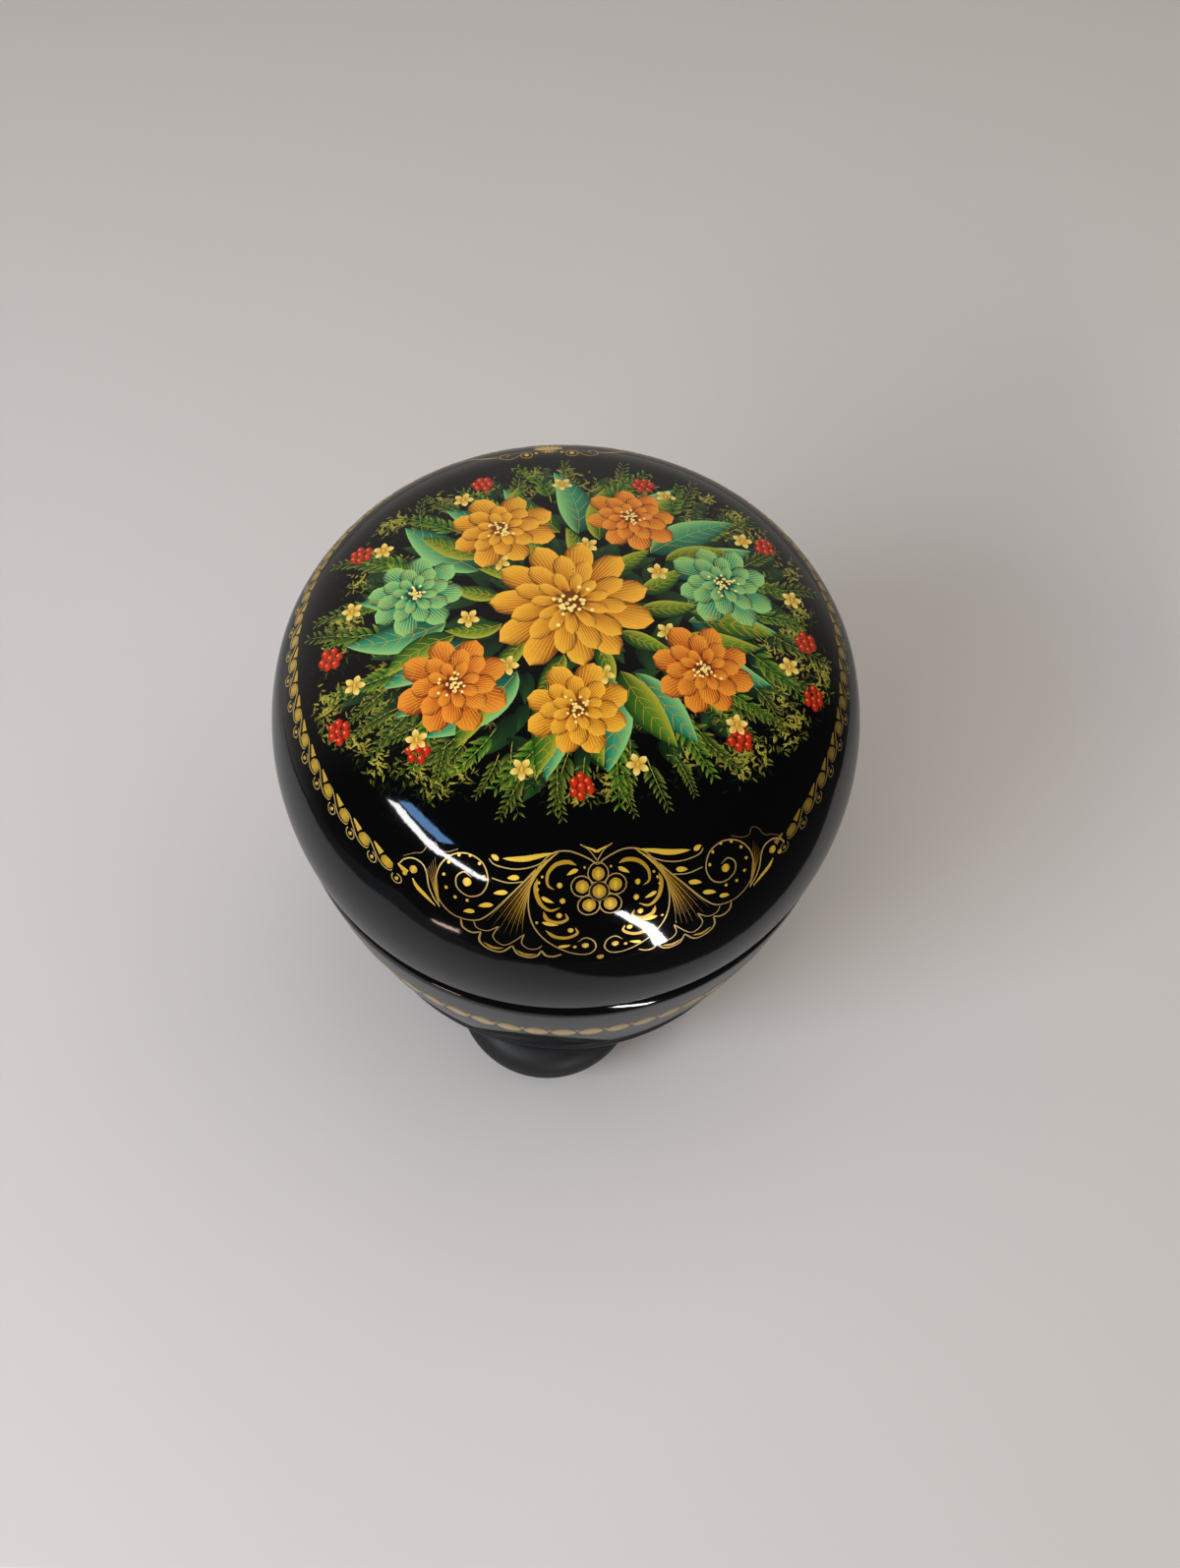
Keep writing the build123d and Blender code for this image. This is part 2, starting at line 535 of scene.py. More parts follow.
@dataclass
class Brushwork:
    """Brush strokes on a turned skin, each a closed flattened tube whose edges sink into the skin."""

    skin: Section
    chart: Chart
    front: float
    radius: float = 44.0
    sink: float = 0.03
    thinnest: float = 0.015
    flank: float = 0.92
    shading: float = 1.4
    points: list[np.ndarray] = field(default_factory=list)
    normals: list[np.ndarray] = field(default_factory=list)
    colours: list[np.ndarray] = field(default_factory=list)
    faces: dict[int, list[np.ndarray]] = field(default_factory=dict)
    total: int = 0

    def skinned(self, flat: np.ndarray, lift: np.ndarray) -> tuple[np.ndarray, np.ndarray]:
        """Points and normals of flat painting coordinates on the skin.

        Args:
            flat: Painting coordinates in millimetres.
            lift: Height above the skin.

        Returns:
            Points and normals.
        """
        x, y = flat[..., 0], flat[..., 1]
        if self.chart is Chart.DISC:
            return self.skin.place(self.front + np.arctan2(x, -y), np.hypot(x, y), lift)
        return self.skin.place(self.front + x / self.radius, y, lift)

    def lay(
        self,
        path: np.ndarray,
        half: Amount,
        colour: Tint,
        edges: Optional[tuple[Colour, Colour]] = None,
        lift: Amount = 0.06,
        ribs: int = 1,
    ) -> None:
        """Add strokes: a low cross-section of half-width and lift carried along each path.

        Args:
            path: Strokes, points and x, y.
            half: Half-widths along the strokes.
            colour: One colour, one for each point or one for each stroke and point.
            edges: Colours at the right and left edges, or none for the same all over.
            lift: Height above the skin.
            ribs: Raised points across the stroke.
        """
        count, steps = path.shape[:2]
        along = np.gradient(path, axis=1)
        side = np.stack([-along[..., 1], along[..., 0]], -1)
        side /= np.maximum(np.linalg.norm(side, axis=-1, keepdims=True), 1e-9)
        half = np.maximum(np.broadcast_to(half, (count, steps)), self.thinnest)
        middle = np.linspace(-self.flank, self.flank, ribs) if ribs > 1 else np.zeros(1)
        across = np.concatenate([[-1.0], middle, [1.0]])
        shape = (count, steps, len(across))
        rise = np.broadcast_to(np.reshape(lift, (-1, 1, 1)), shape).copy()
        rise[..., [0, -1]] = -self.sink
        flat = path[:, :, None] + side[:, :, None] * (half[..., None] * across)[..., None]
        points, normals = self.skinned(flat, rise)
        tint = np.broadcast_to(colour, (count, steps, 3))[:, :, None]
        if edges is not None:
            share = np.abs(across[:, None]) ** self.shading
            tint = tint * (1.0 - share) + np.where(across[:, None] < 0.0, *np.array(edges)) * share
        index = self.total + np.arange(np.prod(shape)).reshape(shape)
        after = np.roll(index, -1, 2)
        quads = np.stack([index[:, :-1], index[:, 1:], after[:, 1:], after[:, :-1]], -1).reshape(-1, 4)
        caps = np.vstack([index[:, 0], index[:, -1, ::-1]])
        turn = -1 if self.chart is Chart.BAND else 1
        for faces in (quads, caps):
            self.faces.setdefault(faces.shape[1], []).append(faces[:, ::turn])
        self.points.append(points.reshape(-1, 3))
        self.normals.append(normals.reshape(-1, 3))
        self.colours.append(np.broadcast_to(tint, (*shape, 3)).reshape(-1, 3))
        self.total += index.size

    def dots(
        self,
        centres: np.ndarray,
        size: Amount,
        colour: Tint,
        lift: float = 0.06,
        edge: Optional[Colour] = None,
        shape: float = 1.0,
    ) -> None:
        """Round dabs: a short stroke whose half-width is a half circle.

        Args:
            centres: Middles of the dabs.
            size: Their radii.
            colour: Their colour.
            lift: Height above the skin.
            edge: Colour of the rim, or none for the same.
            shape: Length against width.
        """
        rise = np.linspace(-1.0, 1.0, 7) * 0.985
        size = np.broadcast_to(size, len(centres))[:, None]
        path = centres[:, None] + (size * shape * rise)[..., None] * np.array([0.0, 1.0])
        self.lay(path, size * np.sqrt(1.0 - rise**2), colour, (edge, edge) if edge else None, lift, 3)

    def rings(
        self, centres: np.ndarray, size: float, half: float, colour: Colour, lift: float = 0.06
    ) -> None:
        """Circles of radius size drawn with a line of this half-width."""
        loop = compass(np.linspace(0.0, 2.0 * np.pi, 15)) * size
        self.lay(centres[:, None] + loop, half, colour, lift=lift)

    def mirrored(
        self, path: np.ndarray, half: Amount, colour: Tint, lift: float, ribs: int = 1, lean: float = 0.0
    ) -> None:
        """Strokes and their mirror images about x = 0.

        Args:
            path: Strokes on one side.
            half: Half-widths.
            colour: Colour or colours.
            lift: Height above the skin.
            ribs: Raised points across the stroke.
            lean: Drop of the whole for each millimetre to the right.
        """
        half = np.broadcast_to(half, path.shape[:2])
        self.lay(doubled(path, lean), np.concatenate([half, half]), colour, lift=lift, ribs=ribs)

    def sheet(self) -> Sheet:
        """All strokes as one sheet.

        Returns:
            The sheet, with the vertex colour "paint".
        """
        paint = np.pad(np.concatenate(self.colours), ((0, 0), (0, 1)), constant_values=1.0)
        faces = [np.concatenate(group) for group in self.faces.values()]
        return Sheet(np.concatenate(self.points), faces, np.concatenate(self.normals), {"paint": paint})


def ridden(piece: bpy.types.Object, body: str, slot: str, *nodes: str) -> bpy.types.Object:
    """Tie a piece to its body and hide the nodes that it stands for.

    Args:
        piece: The piece.
        body: Body that it moves with.
        slot: Slot that its finish belongs to; not used.
        nodes: Nodes that it replaces.

    Returns:
        The piece.
    """
    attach(piece, body)
    if nodes:
        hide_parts(*nodes)
    LOG.info("%s on %s: %d faces", piece.name, body, len(piece.data.polygons))
    return piece


@dataclass(frozen=True)
class Lacquer:
    """Polished lacquer with faint waves, dust and rubbed edges, red where the vertex value lining is 1."""

    name: str
    index: float
    black: Colour = (0.0009, 0.0009, 0.0009)
    red: Colour = (0.33, 0.022, 0.012)
    rubbed: Colour = (0.055, 0.022, 0.012)
    polish: float = 0.045
    waves: float = 0.012

    def made(self) -> bpy.types.Material:
        """Colour by lining and rubbing, gloss by dust and fine wiping marks.

        Returns:
            The material.
        """
        recipe = Recipe(self.name)
        lining, edge = recipe.value("lining"), recipe.value("edge")
        worn = (edge * recipe.noise(2.2, 4.0)).above(0.60, 0.12)
        red = recipe.blend(recipe.noise(14.0, 3.0), scaled(self.red, 0.8), scaled(self.red, 1.15))
        coat = recipe.blend(lining, self.black, red)
        dust = recipe.noise(0.35, 1.0).above(0.73, 0.04)
        wiped = recipe.noise(5.0, 5.0)
        height = recipe.noise(9.0, 1.0) + 0.75 * recipe.noise(1.6, 1.0)
        return recipe.surface({
            "Base Color": recipe.blend(worn, coat, self.rubbed),
            "Roughness": self.polish + 0.05 * wiped * wiped + 0.10 * lining + 0.12 * worn + 0.10 * dust,
            "IOR": self.index,
            "Normal": recipe.bump(height, self.waves),
        })


@dataclass(frozen=True)
class Satin:
    """Black paint on turned wood: duller, with turning rings and rubbed patches."""

    name: str
    index: float = 1.4
    black: Colour = (0.006, 0.0058, 0.006)
    rubbed: Colour = (0.05, 0.024, 0.012)
    rings: Colour = (0.15, 0.15, 1.0)

    def made(self) -> bpy.types.Material:
        """Fine level rings under the paint, blotchy gloss and worn rims.

        Returns:
            The material.
        """
        recipe = Recipe(self.name)
        worn = (recipe.value("edge") * recipe.noise(1.8, 4.0)).above(0.58, 0.14)
        rings = recipe.noise(0.6, 2.0, self.rings)
        blotch = recipe.noise(4.0, 3.0)
        tone = recipe.blend(blotch, self.black, scaled(self.black, 1.9))
        return recipe.surface({
            "Base Color": recipe.blend(worn, tone, self.rubbed),
            "Roughness": 0.42 + 0.16 * blotch + 0.10 * rings + 0.10 * worn,
            "IOR": self.index,
            "Normal": recipe.bump(rings, 0.02),
        })


@dataclass(frozen=True)
class Miniature:
    """Egg-tempera colours under clear lacquer, from the vertex colour paint."""

    name: str
    index: float = 1.4
    polish: float = 0.055

    def made(self) -> bpy.types.Material:
        """Colour broken by brush hairs, gloss of the lacquer above it.

        Returns:
            The material.
        """
        recipe = Recipe(self.name)
        hairs = recipe.noise(0.22, 3.0)
        wash = recipe.noise(3.0, 2.0)
        return recipe.surface({
            "Base Color": recipe.paint(0.78 + 0.28 * hairs + 0.16 * wash),
            "Roughness": self.polish + 0.05 * wash * wash,
            "IOR": self.index,
            "Normal": recipe.bump(hairs, 0.0015),
        })


@dataclass(frozen=True)
class Gilding:
    """Powdered gold laid with a fine brush, from the vertex colour paint, slightly broken."""

    name: str
    shine: float = 0.35
    coat: float = 0.7

    def made(self) -> bpy.types.Material:
        """Gold grains of uneven tone and gloss, worn thin here and there.

        Returns:
            The material.
        """
        recipe = Recipe(self.name)
        grain = recipe.noise(0.12, 2.0)
        wear = recipe.noise(1.6, 3.0)
        return recipe.surface({
            "Base Color": recipe.paint(0.62 + 0.42 * grain + 0.34 * wear),
            "Metallic": self.shine * (0.6 + 0.8 * wear),
            "Roughness": 0.26 + 0.25 * grain,
            "Coat Weight": self.coat,
            "Coat Roughness": 0.06,
            "Normal": recipe.bump(grain, 0.003),
        })


@dataclass(frozen=True)
class Wood:
    """Plain birch of the hidden pins."""

    name: str
    light: Colour = (0.52, 0.36, 0.20)
    dark: Colour = (0.36, 0.22, 0.11)
    grain: Colour = (1.0, 1.0, 0.08)

    def made(self) -> bpy.types.Material:
        """Long grain streaks up the pin.

        Returns:
            The material.
        """
        recipe = Recipe(self.name)
        streak = recipe.noise(0.7, 4.0, self.grain)
        return recipe.surface({
            "Base Color": recipe.blend(streak, self.light, self.dark),
            "Roughness": 0.5 + 0.2 * streak,
            "Normal": recipe.bump(streak, 0.03),
        })


@dataclass(frozen=True)
class Board:
    """Pale matt board under the box; to all rays but the camera's it is darker, painted shade for the floor
    that the lacquer mirrors, and nearly black beyond its shade lines.

    A shade line is the heading in degrees and the length of the shortest step from the box's
    axis to that line.
    """

    name: str
    pale: Colour = (0.590, 0.543, 0.503)
    # painted shade: the darker board that reflections and bounce light see instead of the pale one
    mirrored: Colour = (0.32, 0.306, 0.288)
    shaded: Colour = (0.03, 0.03, 0.03)
    lines: tuple[tuple[float, float], ...] = ((-147.0, 144.0), (-102.0, 125.0), (-45.0, 91.0))
    blur: float = 5.0

    def made(self) -> bpy.types.Material:
        """An even pale grey with the faintest clouding to the camera; to reflections and bounce light a
        darker grey with soft dark sides, painted shade.

        Returns:
            The material.
        """
        recipe = Recipe(self.name)
        cloud = recipe.noise(60.0, 3.0)
        pale = recipe.blend(cloud, scaled(self.pale, 0.97), self.pale)
        lit = 1.0
        for heading, reach in self.lines:
            lit = lit * (1.0 - recipe.towards(recipe.place(), heading).above(reach * MM, self.blur * MM))
        # painted shade: rays other than the camera's see the darker board, nearly black beyond the shade
        # lines
        mirrored = recipe.blend(lit, self.shaded, self.mirrored)
        return recipe.surface({
            "Base Color": recipe.blend(recipe.ray("Is Camera Ray"), mirrored, pale),
            "Roughness": 0.55 + 0.15 * cloud,
            "Normal": recipe.bump(recipe.noise(0.8, 2.0), 0.01),
        })


@dataclass
class Lid:
    """Domed lid: one skin over crown and wall, black outside and red inside.

    Outside, the skin is set in by paint_room, and by seam_gap below. Inside, the bore is wider by
    bore_room and the ledge lower by ledge_room.
    """

    radius: float = 50.0
    seam: float = 61.3
    widest_rise: float = 9.7
    side_round: float = 50.0
    shoulder_round: float = 18.0
    side_tilt: float = 70.0
    crown_tilt: float = 16.0
    wall: float = 5.0
    top: float = 4.0
    edge_round: float = 3.0
    paint_room: float = 0.15
    seam_gap: float = 0.05
    bore_room: float = 0.1
    ledge_room: float = 0.2
    soft: float = 0.24
    edge_zone: float = 0.8
    rubbing: tuple[float, float] = (1.2, 1.0)

    def section(self) -> Section:
        """Outline of side, shoulder and crown circles that run into each other, and the hollow inside.

        Returns:
            The softened section, from the crown's top round the edge to the hollow's top.
        """
        room, edge, low = self.paint_room, self.edge_round, self.seam + self.seam_gap
        side = (self.radius - self.side_round, self.seam + self.widest_rise)
        side_end = on_arc(side, self.side_round, self.side_tilt)
        shoulder = on_arc(side_end, -self.shoulder_round, self.side_tilt)
        end = on_arc(shoulder, self.shoulder_round, self.crown_tilt)
        crown_round = end[0] / np.sin(np.radians(self.crown_tilt))
        crown = (0.0, end[1] - crown_round * np.cos(np.radians(self.crown_tilt)))
        edge_reach = self.side_round - room - edge
        foot = 90.0 + np.degrees(np.arcsin((side[1] - low - edge) / edge_reach))
        bore, ledge = self.radius - self.wall + self.bore_room, side_end[1] - self.ledge_room
        inner = self.shoulder_round - self.top
        inner_tilt = np.degrees(np.arccos((ledge - shoulder[1]) / inner))
        return Section.softened(np.vstack([
            arc(crown, crown_round - room, 0.0, self.crown_tilt),
            arc(shoulder, self.shoulder_round - room, self.crown_tilt, self.side_tilt),
            arc(side, self.side_round - room, self.side_tilt, foot),
            arc(on_arc(side, edge_reach, foot), edge, foot, 180.0),
            [(bore, low), (bore, ledge)],
            arc(shoulder, inner, inner_tilt, self.crown_tilt),
            arc(crown, crown_round - self.top, self.crown_tilt, 0.0),
        ]), closed=False, soft=self.soft)

    def build(self, finish: bpy.types.Material) -> bpy.types.Object:
        """Turn the shell.

        Args:
            finish: Lacquer.

        Returns:
            The lid's shell.
        """
        section = self.section()
        sheet, run = turned(section, sides=256, turn=3.0, stretch=1.2)
        low = section.run[np.flatnonzero(section.at[:, 1] < self.seam + self.edge_zone)]
        outer, inner = (bell(run - low[end], width) for end, width in zip((0, -1), self.rubbing))
        sheet.values.update(lining=(run > low[-1]).astype(float), edge=outer + inner)
        return ridden(sheet.made("lid_shell", finish), "lid", "lid_lacquer", "lid_dome", "lid_wall")


@dataclass
class Body:
    """Tapering bowl with its rounded shoulder, foot bead, centring lip and floor."""

    radius: float = 49.05
    seam: float = 61.3
    shoulder_round: float = 3.3
    shoulder_drop: float = 3.25
    foot: float = 42.5
    foot_height: float = 20.0
    belly: float = 0.8
    bead_round: float = 1.2
    bead_proud: float = 0.35
    floor_board: float = 4.0
    floor_radius: float = 39.5
    floor_ledge: float = 1.5
    lip: tuple[float, float, float, float] = (42.25, 44.65, 47.3, 68.3)
    lip_edge: float = 0.8
    lining_edge: float = 0.3
    rubbing: tuple[float, float] = (1.2, 1.6)
    bead_rubbing: float = 0.7
    bead_back: float = 4.5

    def wall_section(self) -> Section:
        """Outline of shoulder, bulged wall, bead, floor rebate and the seat of the lip.

        The bulge is a straight taper plus four times the belly times t and 1 - t.

        Returns:
            The softened closed section, from the rim down the outside.
        """
        round_at = (self.radius - self.shoulder_round, self.seam - self.shoulder_drop)
        rim = np.degrees(np.arccos(self.shoulder_drop / self.shoulder_round))
        bead = (self.foot + self.bead_proud - self.bead_round, self.foot_height + self.bead_round)
        bead_top = np.degrees(np.arcsin((self.foot - bead[0]) / self.bead_round))
        low = on_arc(bead, self.bead_round, bead_top)
        high = np.array([self.radius, round_at[1]])
        t = np.linspace(0.0, 1.0, 40)[1:-1, None]
        bulge = high + (low - high) * t + np.array([4.0 * self.belly, 0.0]) * t * (1.0 - t)
        floor_top = self.foot_height + self.floor_board
        inner, outer, lip_low, _ = self.lip
        return Section.softened(np.vstack([
            arc(round_at, self.shoulder_round, rim, 90.0),
            bulge,
            arc(bead, self.bead_round, bead_top, 180.0),
            [(self.floor_radius, self.foot_height), (self.floor_radius, floor_top)],
            [(self.floor_radius - self.floor_ledge, floor_top), (inner, lip_low), (outer, lip_low)],
            [(outer, self.seam)],
        ]), closed=True, soft=0.2)

    def build(self, finish: bpy.types.Material) -> list[bpy.types.Object]:
        """Turn the wall, the lip and the floor.

        Args:
            finish: Lacquer.

        Returns:
            The pieces.
        """
        section = self.wall_section()
        wall, run = turned(section, sides=224, turn=4.0, stretch=1.6)
        inside = section.run[np.flatnonzero(section.at[:, 0] < self.floor_radius + self.lining_edge)[0]]
        rim, bead = (bell(run - at, width) for at, width in zip((0.0, inside - self.bead_back), self.rubbing))
        rubbed = rim + self.bead_rubbing * bead
        wall.values.update(lining=(run > inside).astype(float), edge=rubbed)
        inner, outer, low, high = self.lip
        corners = np.array([(inner, high), (outer, high), (outer, low), (inner, low)])
        lip = Section.softened(corners, closed=True, soft=0.35)
        ring, run = turned(lip, sides=192, turn=6.0, stretch=2.0)
        ring.values.update(lining=np.ones_like(run), edge=(ring.points[:, 2] > high - self.lip_edge) * 1.0)
        base, top, reach = self.foot_height, self.foot_height + self.floor_board, self.floor_radius
        corners = np.array([(0.0, top), (reach, top), (reach, base), (0.0, base)])
        board = Section.softened(corners, closed=False, soft=0.2)
        disc, run = turned(board, sides=160, turn=8.0, stretch=3.0)
        disc.values.update(lining=(disc.normals[:, 2] > 0.0).astype(float), edge=np.zeros_like(run))
        return [
            ridden(wall.made("body_shell", finish), "box", "body_lacquer", "body_wall"),
            ridden(ring.made("lip_ring", finish), "box", "inside_lacquer", "rim_lip"),
            ridden(disc.made("floor_disc", finish), "box", "inside_lacquer", "body_floor"),
        ]


@dataclass
class Feet:
    """Three turned bun feet on a ring below the floor."""

    names: tuple[str, ...] = ("foot_front", "foot_back_right", "foot_back_left")
    bearings: tuple[float, ...] = (-90.0, 30.0, 150.0)
    height: float = 20.0
    widest: float = 18.0
    widest_rise: float = 15.5
    neck: float = 14.0
    base: float = 8.5
    ring: float = 28.3
    rubbing: float = 1.0

    def bow(self, end: float, rise: float) -> tuple[float, float]:
        """Radius of the circle from the widest point to an end, and the tilt at that end.

        Args:
            end: Radius of the foot at that end.
            rise: Height between them.

        Returns:
            Radius and tilt in degrees.
        """
        step = self.widest - end
        size = (step**2 + rise**2) / (2.0 * step)
        return size, np.degrees(np.arctan2(end - self.widest + size, rise))

    def section(self) -> Section:
        """Outline of a bun: one circle from neck to widest and one from widest to base, level at the widest.

        Returns:
            The softened section from the top's middle to the base's middle.
        """
        up, up_tilt = self.bow(self.neck, self.height - self.widest_rise)
        down, down_tilt = self.bow(self.base, self.widest_rise)
        return Section.softened(np.vstack([
            [(0.0, self.height)],
            arc((self.widest - up, self.widest_rise), up, up_tilt, 90.0),
            arc((self.widest - down, self.widest_rise), down, 90.0, 180.0 - down_tilt),
            [(0.0, 0.0)],
        ]), closed=False, soft=0.3)

    def build(self, finish: bpy.types.Material) -> list[bpy.types.Object]:
        """Turn the feet and set them on their ring.

        Args:
            finish: Satin paint.

        Returns:
            The feet.
        """
        sheet, _ = turned(self.section(), sides=96, turn=5.0, stretch=1.5)
        values = {"edge": bell(sheet.points[:, 2], self.rubbing)}
        feet = []
        for name, angle in zip(self.names, np.radians(self.bearings)):
            shift = self.ring * np.append(compass(angle), 0.0)
            bun = Sheet(sheet.points + shift, sheet.faces, sheet.normals, values)
            feet.append(ridden(bun.made(name.replace("foot", "bun"), finish), "box", "foot_lacquer", name))
        return feet


@dataclass(frozen=True)
class Tone:
    """Deep, middle and light shade of one paint."""

    deep: Colour
    middle: Colour
    light: Colour

    @classmethod
    def mixed(cls, *screens: tuple[int, int, int]) -> "Tone":
        """Paint from the screen values of its three shades."""
        return cls(*(pigment(*screen) for screen in screens))

    def graded(self, steps: int) -> np.ndarray:
        """Colours along a stroke from deep to light."""
        return ramp([self.deep, self.middle, self.light], steps)


GOLD = Tone.mixed((112, 78, 14), (182, 138, 32), (228, 184, 58))
PALE_GOLD = Tone.mixed((112, 88, 44), (172, 142, 78), (206, 174, 104))
DULL_GOLD = Tone.mixed((130, 108, 70), (164, 138, 92), (190, 164, 114))
AMBER = Tone.mixed((108, 48, 5), (190, 114, 18), (230, 166, 48))
ORANGE = Tone.mixed((110, 34, 5), (184, 84, 16), (224, 136, 40))
TEAL = Tone.mixed((6, 56, 42), (40, 128, 90), (136, 186, 104))
LEAF = Tone.mixed((12, 42, 10), (62, 108, 26), (166, 162, 44))
SHADE = Tone.mixed((12, 26, 8), (58, 80, 24), (160, 150, 54))
GLOOM = Tone.mixed((7, 20, 9), (20, 46, 20), (44, 74, 28))
RED = Tone.mixed((98, 14, 6), (194, 46, 20), (236, 120, 60))
CREAM = Tone.mixed((146, 100, 30), (214, 172, 76), (242, 214, 120))
BARE = pigment(10, 8, 5)


@dataclass
class ChainBorder:
    """Gold chain round the lid's shoulder, from the back to the front panel on either side.

    worn gives the share of the gold's colour kept at the back and at the front, on the left and on the right:
    painted light and shade, brightest at the front on the left and dim at the back and on the right.
    """

    brush: Brushwork
    along: float = 44.8
    links: int = 24
    start: float = 27.6
    bead: tuple[float, float] = (2.2, 0.74)
    line: float = 0.13
    droop: float = 4.3
    reach: float = 45.0
    slack: float = 2.0
    lead: float = 0.2
    worn: tuple[tuple[float, float], tuple[float, float]] = ((0.42, 0.85), (0.52, 0.40))

    def hung(self, path: np.ndarray) -> np.ndarray:
        """Strokes let down towards the front: by the droop times the square of what is left of the reach.

        Args:
            path: Strokes on the left side, level at the chain's length along the section.

        Returns:
            The strokes on the chain's curve.
        """
        left = np.clip(1.0 - (-path[..., 0] - self.start - self.slack) / self.reach, 0.0, 1.0)
        return path + np.stack([0.0 * left, self.droop * left**2], -1)

    def lit_and_shaded(self, tint: Tint, count: int) -> np.ndarray:
        """Colours of strokes on both sides: the gold times its share of painted light and shade.

        Args:
            tint: Colour, or colours along a stroke.
            count: Strokes on one side, from the back to the front.

        Returns:
            Colours of the strokes on the left side and then of those on the right.
        """
        # painted light and shade: the gold darkens from the lit left front towards the back and the right
        # side
        left = np.concatenate([np.linspace(*side, count) for side in self.worn])
        return left[:, None, None] * np.asarray(tint)

    def paint(self) -> None:
        """Lay the links: a bead, a line that swings round the next, a leaf inside, an eyed loop outside."""
        brush, links = self.brush, self.links
        back = np.pi * brush.radius
        pitch = (back - self.start) / links
        x = -back + pitch * (np.arange(links) + self.lead)
        place = np.stack([x, np.full(links, self.along)], -1)
        bends = [(-0.5, -0.9), (0.8, -0.8), (2.1, 0.0), (3.3, 0.85), (4.4, 1.15), (5.4, 0.9), (5.7, 0.3)]
        lines = self.hung(place[:-1, None] + flowing(bends, 26) * np.array([pitch / 4.6, 1.0]))
        brush.mirrored(lines, self.line * taper(26, 0.1, 0.15), self.lit_and_shaded(PALE_GOLD.light, links - 1), 0.09)
        long, wide = self.bead
        beads = self.hung(swept(place + np.array([-0.5 * long, -0.14]), 0.14, long, 0.0, 9))
        oval = wide * (1.0 - np.linspace(-1.0, 1.0, 9) ** 4) ** 0.5
        sheen = ramp([GOLD.middle, GOLD.light, GOLD.middle], 9)
        brush.mirrored(beads, oval, self.lit_and_shaded(sheen, links), 0.06, ribs=3)
        eyes = place + np.array([0.45 * pitch, 1.4])
        t = np.linspace(0.0, 1.0, 16)
        loop = (0.84 * (1.0 - 0.05 * t))[:, None] * compass(np.radians(-150.0 - 309.6 * t))
        brush.mirrored(self.hung(eyes[:, None] + loop), self.line, self.lit_and_shaded(PALE_GOLD.light, links), 0.07)
        brush.dots(doubled(self.hung(eyes)), 0.3, self.lit_and_shaded(GOLD.light, links), 0.07)
        leaf = self.hung(swept(place + np.array([0.36 * pitch, -1.15]), 0.34, 0.40 * pitch, 0.0, 7))
        swell = 0.5 * np.linspace(0.05, 1.0, 7) ** 0.8
        brush.mirrored(leaf, swell, self.lit_and_shaded(GOLD.light, links), 0.06, ribs=2)


